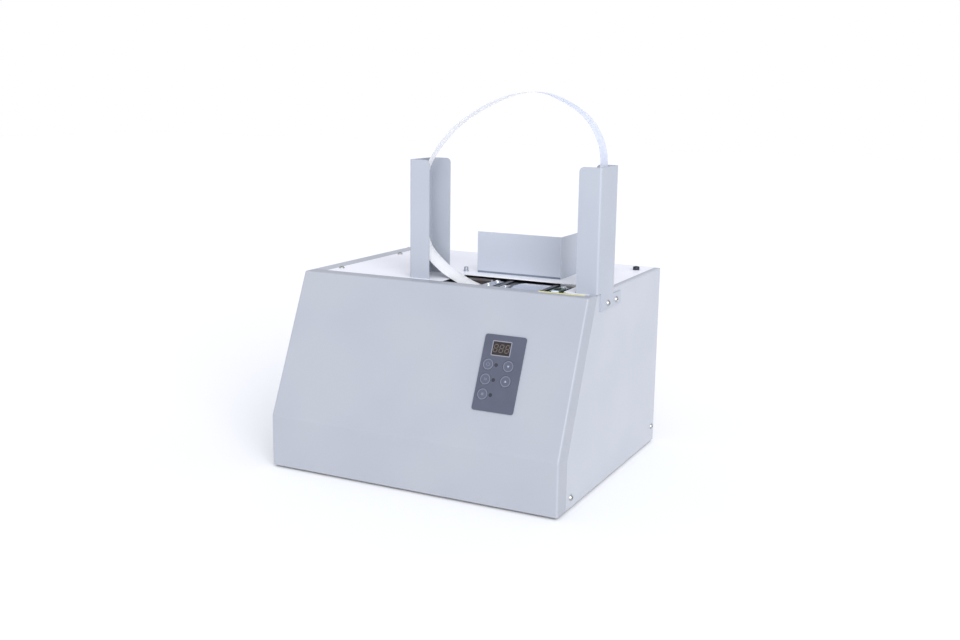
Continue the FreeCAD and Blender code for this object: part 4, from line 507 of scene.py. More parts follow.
@dataclass(frozen=True)
class StackedCore(Finish):
    """Transformer: stacked varnished steel sheets, seen as fine lines across the stack."""

    tint: str = "#6A655F"
    dark: str = "#3B3734"
    sheet: float = 1.0  # core sheets are 0.5 mm; two are drawn as one
    patch: float = 12.0
    depth: float = 0.05

    def paint(self, coat: Coat) -> None:
        """Lines of the stack along Y with patches of brown varnish.

        A wave texture of scale 0.314 has one line per unit, so the sheets set the mapping.

        Args:
            coat: The material in the making.
        """
        scale = (1 / (self.sheet * MM),) * 3
        scaled = add(coat.tree, "ShaderNodeMapping", {"Vector": coat.place, "Scale": scale})
        links = {"Vector": scaled.outputs["Vector"], "Scale": 0.314, "Distortion": 0.6}
        waves = add(coat.tree, "ShaderNodeTexWave", links, bands_direction="Y").outputs["Fac"]
        links = {0: waves, 1: coat.clouds(self.patch, 3.0)}
        mixed = add(coat.tree, "ShaderNodeMath", links, operation="MULTIPLY").outputs["Value"]
        coat.colour(coat.tints(mixed, self.dark, self.tint, 0.1, 0.6))
        coat.fix({"Metallic": 0.6, "Roughness": 0.5})
        coat.relief(waves, self.depth)


# One pale blue-grey powder coat in lit and shaded copies: each sheet's tint is set lighter or
# darker for how light falls on it, as painted light and shade.
COVER = PowderCoat("powder_coat_cover", "#A0A3AA", "#9CA0A8")
SIDE = PowderCoat("powder_coat_side", "#AFB2B9", "#ABAFB6")
PLATE = PowderCoat("powder_coat_table", "#EFF0F4", "#EAEBF0", 0.38)
CHANNEL = PowderCoat("powder_coat_channel", "#A4A9B1", "#9FA4AE", 0.36)
STOP = PowderCoat("powder_coat_stop", "#B2B7C0", "#ADB3BD", 0.4)
ZINC = ZincPlate("zinc_plated_steel")
STEEL = GroundMetal("ground_steel", "#C4CAD4", "#A2A8B2")
DARK_STEEL = GroundMetal("blued_steel", "#4A4E55", "#33363C", 0.32)
MILLED = GroundMetal("milled_aluminium", "#D6D9DE", "#B8BCC3", 0.34, 1.1, Lay.ALONG)
NICKEL = GroundMetal("nickel_plated_steel", "#DADCE0", "#B9BCC2", 0.2, 0.9)
POLISHED = GroundMetal("lapped_tool_steel", "#E4E9F2", "#C5CCD8", 0.16, 1.2, Lay.ALONG)
BRASS = GroundMetal("turned_brass", "#C9A65A", "#A98845", 0.3, 0.9, Lay.ALONG)
ENAMEL = PowderCoat("black_motor_enamel", "#26282B", "#1D1F22", 0.4, 3.0, 0.02)
RUBBER = Rubber("moulded_rubber")
# painted shadow: grey-blue strip at the stack stop's foot, standing for the shade under its front
# edge
SHADOW_STRIP = Rubber("painted_shadow_line", "#6C7684", "#626C7A", 0.6, 1.4, 0.02)
ROLLER = Rubber("ground_roller_rubber", "#3A3A3D", "#2E2E31", 0.7, 1.0, 0.02)
BROWN = Moulded("moulded_brown_phenolic", "#3A2E2A", "#2A211E", 0.45, 1.0, 0.02)
WHITE = Moulded("moulded_white_acetal", "#E6E5DF", "#DCDBD5", 0.42)
BLACK = Moulded("moulded_black_nylon")
PLUG = Moulded("moulded_plug_nylon", "#DCE6F6", "#D2DDEE", 0.3)
LEAD = Rubber("lead_sleeve", "#1E1F21", "#151618", 0.4, 1.4, 0.02)
PAPER = KraftPaper("bleached_kraft_paper")
FILM = PrintedFilm("printed_membrane_film", "#4A4E5E", "#464A5A")
KEY = PrintedFilm("printed_key_film", "#4F5365", "#4B4F60", 0.44)
BORDER = PrintedFilm("border_print_ink", "#82848D", "#7D8089", 0.5)
PRINT = PrintedFilm("pale_print_ink", "#70737F", "#6C6F7A", 0.5)
MARK = PrintedFilm("white_print_ink", "#A6AABA", "#A0A4B4", 0.5)
WINDOW = ClearLens("smoked_acrylic")
SEGMENT = PrintedFilm("unlit_segment", "#5A514C", "#524944", 0.35)
LENS = ClearLens("dark_lamp_lens", "#35363F", "#2A2B33", 0.2)
TAPE = Moulded("yellow_vinyl_tape", "#E4DC7E", "#DDD370", 0.4, 2.0, 0.01)
BOARD = BoardLaminate("green_board_laminate")
CORE = StackedCore("varnished_core_sheets")

# ---------------------------------------------------------------------------------------------
# Meshes from numpy grids
# ---------------------------------------------------------------------------------------------


@dataclass
class Surface:
    """A mesh in the making: points in millimetres and faces, gathered from grids and outlines.

    Faces are kept in blocks, one row of point numbers for each face. The recess holds a depth
    for each of some points, by the number of the first; it becomes the mesh's recess attribute,
    where the zinc and paper finishes paint shade.
    """

    points: list[np.ndarray] = field(default_factory=list)
    faces: list[np.ndarray] = field(default_factory=list)
    count: int = 0
    recess: dict[int, np.ndarray] = field(default_factory=dict)

    def grid(
        self, spots: np.ndarray, around: bool = False, along: bool = False, flip: bool = False
    ) -> "Surface":
        """Add a grid of quads; face (i, j) joins rows i and i+1, columns j and j+1.

        Args:
            spots: Array of rows by columns by three, in millimetres.
            around: Whether the last column joins the first.
            along: Whether the last row joins the first.
            flip: Whether the faces turn the other way.

        Returns:
            This surface.
        """
        rows, columns = spots.shape[:2]
        i = np.arange(rows if along else rows - 1)[:, None]
        j = np.arange(columns if around else columns - 1)[None, :]
        below, right = (i + 1) % rows, (j + 1) % columns
        quads = np.stack(
            [i * columns + j, i * columns + right, below * columns + right, below * columns + j],
            axis=-1,
        ).reshape(-1, 4)
        self.faces.append((quads[:, ::-1] if flip else quads) + self.count)
        self.points.append(spots.reshape(-1, 3))
        self.count += rows * columns
        return self

    def lid(self, spots: np.ndarray, flip: bool = False) -> "Surface":
        """Add one flat face through a ring of points.

        Args:
            spots: The ring, three columns.
            flip: Whether the face turns the other way.

        Returns:
            This surface.
        """
        ring = np.arange(len(spots))[None] + self.count
        self.faces.append(ring[:, ::-1] if flip else ring)
        self.points.append(spots)
        self.count += len(spots)
        return self

    def prism(self, outline: np.ndarray, low: float, high: float) -> "Surface":
        """Add a closed prism over a flat outline.

        Args:
            outline: Points of the outline, anticlockwise, two columns.
            low: Height of its underside.
            high: Height of its top.

        Returns:
            This surface.
        """
        n = len(outline)
        floor = np.arange(n)[None] + self.count
        ahead = np.roll(floor, -1)
        self.faces += [floor + n, floor[:, ::-1]]
        self.faces.append(np.vstack([floor, ahead, ahead + n, floor + n]).T)
        self.points += [np.column_stack([outline, np.full(n, level)]) for level in (low, high)]
        self.count += 2 * n
        return self

    def join(self, other: "Surface") -> "Surface":
        """Take over another surface's points, faces and recess depths.

        Args:
            other: The surface that joins this one.

        Returns:
            This surface.
        """
        for start, values in other.recess.items():
            self.recess[self.count + start] = values
        self.points += other.points
        self.faces += [block + self.count for block in other.faces]
        self.count += other.count
        return self

    def moved(self, matrix: Matrix) -> "Surface":
        """Carry all points so far by a matrix in millimetres.

        Args:
            matrix: The matrix.

        Returns:
            This surface.
        """
        turn = np.array(matrix.to_3x3())
        shift = np.array(matrix.translation)
        self.points = [p @ turn.T + shift for p in self.points]
        return self

    def piece(
        self, name: str, finish: Finish, body: str, slot: str, smooth: float = 35.0
    ) -> bpy.types.Object:
        """Write the mesh as an object that rides on a CAD body.

        Args:
            name: Name of the piece.
            finish: Its finish.
            body: The CAD body that it rides on.
            slot: The record's material slot; not used.
            smooth: Faces that meet below this angle, in degrees, are shaded as one.

        Returns:
            The new object.
        """
        mesh = bpy.data.meshes.new(name)
        faces = [face for block in self.faces for face in block.tolist()]
        mesh.from_pydata(np.vstack(self.points) * MM, [], faces)
        mesh.update()
        if self.recess:
            depth = np.zeros(self.count)
            for start, values in self.recess.items():
                depth[start : start + len(values)] = values
            mesh.attributes.new("recess", "FLOAT", "POINT").data.foreach_set("value", depth)
        piece = bpy.data.objects.new(name, mesh)
        bpy.context.scene.collection.objects.link(piece)
        mesh.shade_smooth()
        mesh.set_sharp_from_angle(angle=np.radians(smooth))
        mesh.materials.append(finish.make())
        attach(piece, body)
        LOG.info("piece %s: %d points, %d faces", name, len(mesh.vertices), len(mesh.polygons))
        return piece


def turns(steps: int) -> np.ndarray:
    """Angles of as many equal steps round a full turn, in radians."""
    return np.linspace(0, 2 * np.pi, steps, endpoint=False)


def circle(radius: float, steps: int = 48) -> np.ndarray:
    """Outline of a circle round the origin, anticlockwise.

    Args:
        radius: Its radius.
        steps: Points on it.

    Returns:
        Points, two columns.
    """
    return radius * np.column_stack([np.cos(turns(steps)), np.sin(turns(steps))])


def turned(profile: tuple[tuple[float, float], ...], place: Place, steps: int = 40) -> Surface:
    """Turned shape that stands upright: point (r cos a, r sin a, h) for each (r, h).

    Args:
        profile: Radius and height of each profile point, from the axis out and round.
        place: Where its foot stands, in millimetres.
        steps: Points round the axis.

    Returns:
        The closed surface.
    """
    angle = turns(steps)
    radius, height = np.array(profile)[:, :1], np.array(profile)[:, 1:]
    across = [radius * np.cos(angle), radius * np.sin(angle), height + 0 * angle]
    shape = Surface().grid(np.stack(across, axis=-1), around=True)
    return shape.moved(frame_matrix(place, (0, 0, 1)))


def carried(section: np.ndarray, start: float, end: float) -> np.ndarray:
    """Section in Y and Z carried along X: point (x, y, z) for each (y, z) at both ends.

    Args:
        section: Points of the section, two columns.
        start: X of the first end.
        end: X of the second end.

    Returns:
        Two rows of points.
    """
    ends = np.array([start, end])[:, None]
    return np.stack([ends + 0 * section[:, 0], 0 * ends + section[:, 0],
                     0 * ends + section[:, 1]], axis=-1)


def loop(outer: np.ndarray, inner: np.ndarray, low: float, high: float) -> Surface:
    """Closed ring between two outlines of as many points, as a grid round its section.

    Args:
        outer: Outer outline, anticlockwise, two columns.
        inner: Inner outline.
        low: Height of the underside.
        high: Height of the top.

    Returns:
        The ring's surface.
    """
    section = [
        np.column_stack([outer, np.full(len(outer), low)]),
        np.column_stack([outer, np.full(len(outer), high)]),
        np.column_stack([inner, np.full(len(inner), high)]),
        np.column_stack([inner, np.full(len(inner), low)]),
    ]
    return Surface().grid(np.stack(section), around=True, along=True)


def rounded(x: float, y: float, w: float, h: float, r: float, steps: int = 6) -> np.ndarray:
    """Outline of a rectangle with round corners, anticlockwise.

    Args:
        x: Left edge.
        y: Lower edge.
        w: Width.
        h: Height.
        r: Radius of the corners.
        steps: Points on each corner.

    Returns:
        Points of the outline, two columns.
    """
    quarter = np.linspace(0, np.pi / 2, steps)
    bends = [(x + w - r, y + r, -np.pi / 2), (x + w - r, y + h - r, 0.0),
             (x + r, y + h - r, np.pi / 2), (x + r, y + r, np.pi)]
    arcs = [(cx + r * np.cos(quarter + a), cy + r * np.sin(quarter + a)) for cx, cy, a in bends]
    return np.vstack([np.column_stack(arc) for arc in arcs])


def slab(outline: np.ndarray, low: float, high: float, edge: float, steps: int = 5) -> Surface:
    """Flat piece whose top edge is rounded by a quarter circle of the given radius.

    Each ring of the edge is the outline moved inwards along its normals by edge (1 - cos t) and
    raised by edge sin t below the top.

    Args:
        outline: Outline of the piece, anticlockwise, two columns.
        low: Height of its underside.
        high: Height of its top.
        edge: Radius of the top edge.
        steps: Rings of points on that edge.

    Returns:
        The closed surface.
    """
    ahead = np.roll(outline, -1, axis=0) - np.roll(outline, 1, axis=0)
    ahead /= np.linalg.norm(ahead, axis=1)[:, None]
    inward = np.column_stack([-ahead[:, 1], ahead[:, 0]])
    level = np.ones(len(outline))
    rings = [np.column_stack([outline, low * level])]
    for t in np.linspace(0, np.pi / 2, steps):
        spots = outline + inward * edge * (1 - np.cos(t))
        rings.append(np.column_stack([spots, (high - edge + edge * np.sin(t)) * level]))
    surface = Surface().grid(np.stack(rings), around=True)
    return surface.lid(rings[0], flip=True).lid(rings[-1])


@dataclass(frozen=True)
class Plate:
    """Flat piece with round corners and a rounded top edge."""

    left: float
    front: float
    width: float
    depth: float
    corner: float
    thick: float
    edge: float

    def on(self, low: float) -> Surface:
        """Lay it on a height.

        Args:
            low: Height of its underside, in millimetres.

        Returns:
            The closed surface.
        """
        outline = rounded(self.left, self.front, self.width, self.depth, self.corner)
        return slab(outline, low, low + self.thick, self.edge)


def tube(path: np.ndarray, radius: float, sides: int = 12) -> Surface:
    """Round tube along a path; each ring stands square to the path's direction.

    Args:
        path: Points of the middle line, three columns, in millimetres.
        radius: Radius of the tube.
        sides: Points round it.

    Returns:
        The closed surface.
    """
    ahead = np.gradient(path, axis=0)
    ahead /= np.linalg.norm(ahead, axis=1)[:, None]
    side = np.cross(ahead, (0.0, 0.0, 1.0))
    side /= np.linalg.norm(side, axis=1)[:, None]
    up = np.cross(side, ahead)
    angle = turns(sides)[None, :, None]
    spokes = side[:, None] * np.cos(angle) + up[:, None] * np.sin(angle)
    spots = path[:, None] + radius * spokes
    surface = Surface().grid(spots, around=True)
    return surface.lid(spots[0], flip=True).lid(spots[-1])


def smooth_path(knots: np.ndarray, steps: int = 60) -> np.ndarray:
    """Smooth line through a few knots: per axis a polynomial of the chord length, degree 4 at most.

    Args:
        knots: Places on the line, three columns, in millimetres.
        steps: Points on the line.

    Returns:
        Points, three columns.
    """
    length = np.append(0.0, np.cumsum(np.linalg.norm(np.diff(knots, axis=0), axis=1)))
    fit = np.polyfit(length / length[-1], knots, min(len(knots) - 1, 4))
    share = np.linspace(0, 1, steps)[:, None]
    return sum(row * share ** (len(fit) - 1 - k) for k, row in enumerate(fit))


def frame_matrix(origin: Place, out: Place, up: Place = (0, 0, 1)) -> Matrix:
    """Matrix whose Z axis points out of a face, with its origin on the face.

    Args:
        origin: Where the piece stands, in millimetres.
        out: Direction out of the face.
        up: Direction that the piece's Y axis leans to.

    Returns:
        The placing matrix, in millimetres.
    """
    z = np.array(out, float) / np.linalg.norm(out)
    x = np.cross(up, z)
    x = x / np.linalg.norm(x) if np.linalg.norm(x) > 1e-6 else np.array((1.0, 0.0, 0.0))
    y = np.cross(z, x)
    rows = np.column_stack([x, y, z, np.array(origin, float)])
    return Matrix([*rows.tolist(), [0, 0, 0, 1]])


def corners(*nodes: str) -> tuple[np.ndarray, np.ndarray]:
    """Box of CAD nodes together, to a thousandth of a millimetre.

    Args:
        *nodes: Names of the nodes.

    Returns:
        Lowest and highest corner, in millimetres.
    """
    boxes = np.array([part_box(name) for name in nodes], float) / MM
    return boxes[:, 0].min(axis=0).round(3), boxes[:, 1].max(axis=0).round(3)


def centre_of(node: str) -> np.ndarray:
    """Middle of a CAD node's box, in millimetres."""
    return sum(corners(node)) / 2


def dress(finish: Finish, *nodes: str) -> None:
    """Give CAD nodes a finish; their shape and place stay.

    Args:
        finish: The finish.
        *nodes: Names of the nodes.
    """
    for name in nodes:
        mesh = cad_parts[name].data
        mesh.materials.clear()
        mesh.materials.append(finish.make())
    LOG.info("dressed %s in %s", ", ".join(nodes), finish.name)


# ---------------------------------------------------------------------------------------------
# Studio
# ---------------------------------------------------------------------------------------------


@dataclass(frozen=True)
class SoftSun:
    """Light from one side that is as bright near the part as far from it."""

    name: str
    away: Place  # direction from the part to the light
    strength: float  # irradiance in watts per square metre
    spread: float  # angle that the light fills, in degrees; a wide one gives soft shadows
    tint: str = "#FAFBFF"
    height: float = 2000.0

    def build(self) -> None:
        """Hang the light over the part, turned towards it."""
        data = bpy.data.lights.new(self.name, "SUN")
        data.energy = self.strength
        data.angle = np.radians(self.spread)
        data.color = linear(self.tint)[:3]
        light = bpy.data.objects.new(self.name, data)
        light.matrix_world = frame_matrix((0, 0, self.height * MM), self.away, (0, 1, 0))
        bpy.context.scene.collection.objects.link(light)


@dataclass
class Studio:
    """Camera at the photograph's angle, pale floor, white room and soft lights."""

    position: Place = (661.8, -1306.4, 482.2)
    azimuth: float = 26.474
    elevation: float = 11.499
    roll: float = 0.765
    focal: float = 42.233
    sensor: float = 36.0
    near: float = 50.0
    far: float = 60000.0
    floor_size: float = 16000.0
    floor_grey: float = 0.93
    room_seen: float = 1.0
    room_lit: float = 0.83
    room_tint: str = "#F5F7FF"
    suns: tuple[SoftSun, ...] = (
        SoftSun("low_front_light", (0.7, -1.0, 0.1), 2.06, 60.0),
        SoftSun("high_front_light", (0.9, -1.0, 0.7), 1.76, 50.0),
    )

    def camera(self) -> None:
        """Place the camera by its azimuth, elevation and roll, solved from the photograph."""
        a, e, r = np.radians([self.azimuth, self.elevation, self.roll])
        back = np.array([np.sin(a) * np.cos(e), -np.cos(a) * np.cos(e), np.sin(e)])
        right = np.cross(-back, [0, 0, 1])
        right /= np.linalg.norm(right)
        up = np.cross(right, -back)
        turned_right = np.cos(r) * right + np.sin(r) * up
        turned_up = -np.sin(r) * right + np.cos(r) * up
        data = bpy.data.cameras.new("camera")
        data.lens = self.focal
        data.sensor_width = self.sensor
        data.clip_start = self.near * MM
        data.clip_end = self.far * MM
        camera = bpy.data.objects.new("camera", data)
        columns = np.column_stack([turned_right, turned_up, back, np.array(self.position) * MM])
        camera.matrix_world = Matrix([*columns.tolist(), [0, 0, 0, 1]])
        bpy.context.scene.collection.objects.link(camera)
        bpy.context.scene.camera = camera

    def floor(self) -> None:
        """Large matt floor, white as the photograph's."""
        half = self.floor_size / 2 * MM
        corner_points = [(-half, -half, 0), (half, -half, 0), (half, half, 0), (-half, half, 0)]
        mesh = bpy.data.meshes.new("floor")
        mesh.from_pydata(corner_points, [], [(0, 1, 2, 3)])
        floor = bpy.data.objects.new("floor", mesh)
        bpy.context.scene.collection.objects.link(floor)
        material = bpy.data.materials.new("matt_white_floor")
        material.use_nodes = True
        shader = material.node_tree.nodes["Principled BSDF"]
        shader.inputs["Base Color"].default_value = grey(self.floor_grey)
        shader.inputs["Roughness"].default_value = 0.9
        shader.inputs["Specular IOR Level"].default_value = 0.1
        mesh.materials.append(material)

    def room(self) -> None:
        """White room: one brightness for the eye and a softer one for the light it gives."""
        world = bpy.data.worlds.new("room")
        bpy.context.scene.world = world
        world.use_nodes = True
        tree = world.node_tree
        tree.nodes.clear()
        links = {"Color": linear(self.room_tint), "Strength": self.room_lit}
        light = add(tree, "ShaderNodeBackground", links).outputs["Background"]
        links = {"Color": grey(1.0), "Strength": self.room_seen}
        backdrop = add(tree, "ShaderNodeBackground", links).outputs["Background"]
        ray = add(tree, "ShaderNodeLightPath").outputs["Is Camera Ray"]
        mixed = add(tree, "ShaderNodeMixShader", {0: ray, 1: light, 2: backdrop})
        add(tree, "ShaderNodeOutputWorld", {"Surface": mixed.outputs["Shader"]})

    def build(self) -> None:
        """Camera, floor, room and lights."""
        bpy.context.scene.view_settings.view_transform = "Standard"
        self.camera()
        self.floor()
        self.room()
        for sun in self.suns:
            sun.build()


# ---------------------------------------------------------------------------------------------
# Housing
# ---------------------------------------------------------------------------------------------


class Recess(Enum):
    """Shape of the recess in a screw's head."""

    CROSS = "cross"
    HEX = "hex"


@dataclass
class ScrewHead:
    """Screw head with a recess, as a height over a disc.

    Height over the face: h(r) = rise * (1 - (r / radius) ** power), less the recess where the
    point lies inside the recess's shape; the wall of the recess is a steep logistic step.
    """

    radius: float = 4.0
    rise: float = 3.0
    power: float = 3.0
    arm: float = 0.5
    reach: float = 2.3
    recess: float = 1.5
    kind: Recess = Recess.CROSS
    wall: float = 9.0  # steepness of the recess's walls, per millimetre
    wall_end: float = 6.0  # steepness at the ends of a cross's arms
    floor: float = 0.15
    sides: int = 48
    rings: tuple[float, ...] = (
        0.02, 0.09, 0.16, 0.24, 0.32, 0.4, 0.46, 0.5, 0.54, 0.6, 0.68, 0.8, 0.9, 0.96, 1.0,
    )  # shares of the radius, closest where the recess's walls stand

    def share(self, x: np.ndarray, y: np.ndarray) -> np.ndarray:
        """Share of the full recess at each point: one inside its shape and nought outside.

        Args:
            x: First coordinate on the disc, in millimetres.
            y: Second coordinate.

        Returns:
            Values from 0 to 1 in the shape of x.
        """
        if self.kind is Recess.HEX:
            turn = np.radians([0.0, 60.0, 120.0])[:, None, None]
            over = np.abs(x * np.cos(turn) + y * np.sin(turn)).max(axis=0) - self.reach
            return 1 / (1 + np.exp(over * self.wall))
        across = np.minimum(np.abs(x), np.abs(y))
        inside = 1 / (1 + np.exp((across - self.arm) * self.wall))
        return inside / (1 + np.exp((np.hypot(x, y) - self.reach) * self.wall_end))

    def made(self, origin: Place, out: Place, spin: float) -> Surface:
        """Make one head on a face.

        Args:
            origin: Centre of the head on the face, in millimetres.
            out: Direction out of the face.
            spin: Turn of the recess, in radians.

        Returns:
            The head's surface, with the depth of its recess.
        """
        share = np.array(self.rings)[:, None]
        angle = turns(self.sides)
        x, y = self.radius * share * np.cos(angle), self.radius * share * np.sin(angle)
        depth = self.share(x, y)
        height = self.rise * (1 - share**self.power) - self.recess * depth
        height = np.maximum(height, self.floor * (1 - share))
        rim = np.stack([x[-1], y[-1], 0 * angle], -1)
        dome = np.concatenate([np.stack([x, y, height], -1), rim[None]], axis=0)
        head = Surface().grid(dome, around=True).lid(dome[0])
        # the recess share becomes the recess attribute, where the zinc finish paints shade
        head.recess[0] = depth.reshape(-1)
        return head.moved(Matrix.Rotation(spin, 4, "Z")).moved(frame_matrix(origin, out))


@dataclass
class Housing:
    """Covers, panels, table, pan, feet, uprights and stack stop, with their screws."""

    head: ScrewHead = field(default_factory=ScrewHead)
    front_screw: tuple[float, float] = (40.0, 12.3)  # behind the front, over the skirt
    rear_screw: tuple[float, float] = (10.0, 20.4)  # before the back, over the skirt
    tab_screws: tuple[float, float] = (-34.4, -5.4)  # Y of each, on the right upright's tab
    tab_screw_drop: float = 15.0  # under the table's face
    table_screws: tuple[float, float] = (-52.0, 101.0)
    table_screw_left: float = -171.0
    inner_tab: float = -55.0  # X of the left upright's tab
    inner_tab_screws: tuple[float, float] = (-52.5, -32.5)
    inner_tab_drop: float = 34.0
    panel_screws: tuple[float, float, float] = (19.0, 125.0, 237.0)  # heights on the rear
    panel_screw_inset: float = 7.0
    first_turn: float = 0.35  # radians, as are all turns
    turn_step: float = 0.8

    def dress(self) -> None:
        """Give every sheet of the housing its finish."""
        dress(COVER, "front_cover")
        dress(SIDE, "left_side_panel", "right_side_panel", "rear_panel")
        dress(PLATE, "top_plate")
        dress(ZINC, "base_pan", "panel_screws")
        dress(RUBBER, "rubber_feet")
        dress(CHANNEL, "left_upright", "right_upright")
        dress(STOP, "stack_stop")

    def screw_places(self) -> list[tuple[Place, Place]]:
        """Work out the screws of the sides, tabs, table and rear from the sheets they hold.

        Returns:
            Place and outward direction of each screw.
        """
        low, high = corners("front_cover", "rear_panel")
        table, back = high[2], high[1]
        front_screw = (low[1] + self.front_screw[0], low[2] + self.front_screw[1])
        rear_screw = (back - self.rear_screw[0], low[2] + self.rear_screw[1])
        outer_tab = corners("right_upright")[1][0]
        spots = []
        for side in (-1, 1):
            for y, z in (front_screw, rear_screw):
                spots.append(((side * high[0], y, z), (side, 0, 0)))
        for y in self.tab_screws:
            spots.append(((outer_tab, y, table - self.tab_screw_drop), (1, 0, 0)))
        for y in self.table_screws:
            spots.append(((self.table_screw_left, y, table), (0, 0, 1)))
        for y in self.inner_tab_screws:
            spots.append(((self.inner_tab, y, table - self.inner_tab_drop), (-1, 0, 0)))
        for side in (-1, 1):
            for z in self.panel_screws:
                spots.append(((side * (high[0] - self.panel_screw_inset), back, z), (0, 1, 0)))
        return spots

    def screws(self) -> None:
        """Cross-recessed heads, each turned as its driver left it."""
        heads = Surface()
        for index, (origin, out) in enumerate(self.screw_places()):
            heads.join(self.head.made(origin, out, self.first_turn + self.turn_step * index))
        piece = heads.piece("panel_screw_heads", ZINC, "housing", "zinc", 50)
        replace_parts(piece, "panel_screws")


# ---------------------------------------------------------------------------------------------
# Control panel
# ---------------------------------------------------------------------------------------------


@dataclass
class Digit:
    """Seven-segment digit that leans to the right; each segment is a flat hexagon."""

    tall: float = 9.2
    wide: float = 4.6
    thick: float = 1.15
    slope: float = 0.14
    gap: float = 0.25

    def segments(self, centre: np.ndarray) -> list[np.ndarray]:
        """Work out the segments' outlines.

        Args:
            centre: Middle of the digit, two values.

        Returns:
            Outline of each segment, two columns.
        """
        bars = [((0, level * self.tall / 2), 0.0, self.wide) for level in (1, 0, -1)]
        for side in (-1, 1):
            for level in (-1, 1):
                place = (side * self.wide / 2, level * self.tall / 4)
                bars.append((place, np.pi / 2, self.tall / 2))
        outlines = []
        for place, turn, length in bars:
            a, b = length / 2 - self.gap, self.thick / 2
            hexagon = np.array([(a, 0), (a - b, b), (b - a, b), (-a, 0), (b - a, -b), (a - b, -b)])
            c, s = np.cos(turn), np.sin(turn)
            outline = hexagon @ np.array([[c, s], [-s, c]]) + place
            outline[:, 0] += outline[:, 1] * self.slope
            outlines.append(outline + centre)
        return outlines


@dataclass
class ControlPanel:
    """Membrane keypad on the slanted front, laid out flat and then turned onto the slant."""

    knee: float = 66.0  # height of the slant's foot over the cover's skirt
    lean: float = 78.5
    rise: float = 178.0
    face: float = 1.5
    window: tuple[float, float, float, float] = (91.5, 114.8, 22.8, 16.0)  # x, y, width, height
    keys: dict[str, tuple[float, float]] = field(
        default_factory=lambda: {
            "key_left_top": (89.5, 102.5),
            "key_left_middle": (89.5, 84.3),
            "key_left_bottom": (89.5, 66.1),
            "key_right_top": (116.0, 102.5),
            "key_right_middle": (116.0, 84.3),
        }
    )
    lamps: tuple[tuple[float, float], ...] = ((100.2, 66.1), (100.2, 84.3), (100.2, 102.5))
    ring: tuple[float, float] = (5.6, 6.5)  # inner and outer radius
    bezel: tuple[float, float] = (1.8, 2.35)
    border_gap: float = 0.25
    border_width: float = 1.05
    border_corner: float = 0.6
    digit: Digit = field(default_factory=Digit)
    digits_shown: int = 3
    sunk: float = 0.02
    print_thick: float = 0.06
    bezel_thick: float = 0.04
    segment_thick: float = 0.03

    def slant(self) -> Matrix:
        """Work out the way from the flat layout (X, up the slant, out of it) to the frame.

        Returns:
            The matrix, in millimetres.
        """
        low = corners("front_cover")[0]
        up = np.array([0, self.lean, self.rise]) / np.hypot(self.lean, self.rise)
        out = np.array([0, -self.rise, self.lean]) / np.hypot(self.lean, self.rise)
        columns = np.column_stack([(1, 0, 0), up, out, (0.0, low[1], low[2] + self.knee)])
        return Matrix([*columns.tolist(), [0, 0, 0, 1]])

    def dress(self) -> None:
        """Finishes of the panel's CAD nodes."""
        dress(FILM, "control_membrane")
        dress(KEY, *self.keys)
        dress(WINDOW, "display_window")
        dress(LENS, "indicator_lamps")
        dress(BOARD, "control_board")

    def border(self) -> None:
        """Pale printed line round the display window."""
        x, y, w, h = self.window
        far, near = self.border_gap + self.border_width, self.border_gap
        outer = rounded(x - far, y - far, w + 2 * far, h + 2 * far, far)
        inner = rounded(x - near, y - near, w + 2 * near, h + 2 * near, self.border_corner)
        ring = loop(outer, inner, self.face - self.sunk, self.face + self.print_thick)
        ring.moved(self.slant()).piece("display_border", BORDER, "housing", "membrane")

    def digits(self) -> None:
        """Unlit digits behind the window's face."""
        x, y, w, h = self.window
        surface = Surface()
        for index in range(self.digits_shown):
            centre = np.array([x + w * (index + 0.5) / self.digits_shown, y + h / 2])
            for outline in self.digit.segments(centre):
                surface.prism(outline, self.face - self.sunk, self.face + self.segment_thick)
        surface.moved(self.slant()).piece("display_segments", SEGMENT, "housing", "window")

    @staticmethod
    def sign(name: str) -> list[np.ndarray]:
        """Outlines of the sign on a key, round the key's middle.

        Args:
            name: Name of the key.

        Returns:
            A broken ring with a bar, two wedges, a square, or an arrow down or up.
        """
        arrow = np.array([(-1.5, -1.0), (1.5, -1.0), (0.0, 1.5)])
        wedge = np.array([(0, -1.7), (1.7, 0), (0, 1.7), (-0.55, 1.15), (0.6, 0), (-0.55, -1.15)])
        arc = circle(1.0)[6:43] @ np.array([(0, 1), (-1, 0)])
        signs = {
            "key_left_top": [
                np.vstack([arc * 2.4, arc[::-1] * 1.8]),
                np.array([(-0.3, 0.6), (0.3, 0.6), (0.3, 2.9), (-0.3, 2.9)]),
            ],
            "key_left_middle": [wedge + (shift, 0) for shift in (-1.3, 0.7)],
            "key_left_bottom": [np.array([(-1.5, -1.5), (1.5, -1.5), (1.5, 1.5), (-1.5, 1.5)])],
            "key_right_top": [arrow[::-1] * (1, -1)],
            "key_right_middle": [arrow],
        }
        return signs[name]

    def marks(self) -> None:
        """Printed ring and sign of each key, each on its own key's body."""
        low, high = self.face - self.sunk, self.face + self.print_thick
        for name, centre in self.keys.items():
            inner, outer = (circle(radius) + centre for radius in self.ring)
            ring = loop(outer, inner, low, high)
            ring.moved(self.slant()).piece(f"{name}_ring", PRINT, name, "key_film")
            mark = Surface()
            for outline in self.sign(name):
                mark.prism(outline + centre, low, high)
            ink = MARK if "right" in name else PRINT
            mark.moved(self.slant()).piece(f"{name}_mark", ink, name, "key_film")

    def bezels(self) -> None:
        """Dark printed ring round each lamp."""
        rings = Surface()
        for centre in self.lamps:
            inner, outer = (circle(radius, 32) + centre for radius in self.bezel)
            rings.join(loop(outer, inner, self.face - self.sunk, self.face + self.bezel_thick))
        rings.moved(self.slant()).piece("lamp_bezels", LENS, "housing", "lamp")

    def build(self) -> None:
        """Border, digits, key marks and lamp bezels."""
        self.border()
        self.digits()
        self.marks()
        self.bezels()


# ---------------------------------------------------------------------------------------------
# Paper strap
# ---------------------------------------------------------------------------------------------


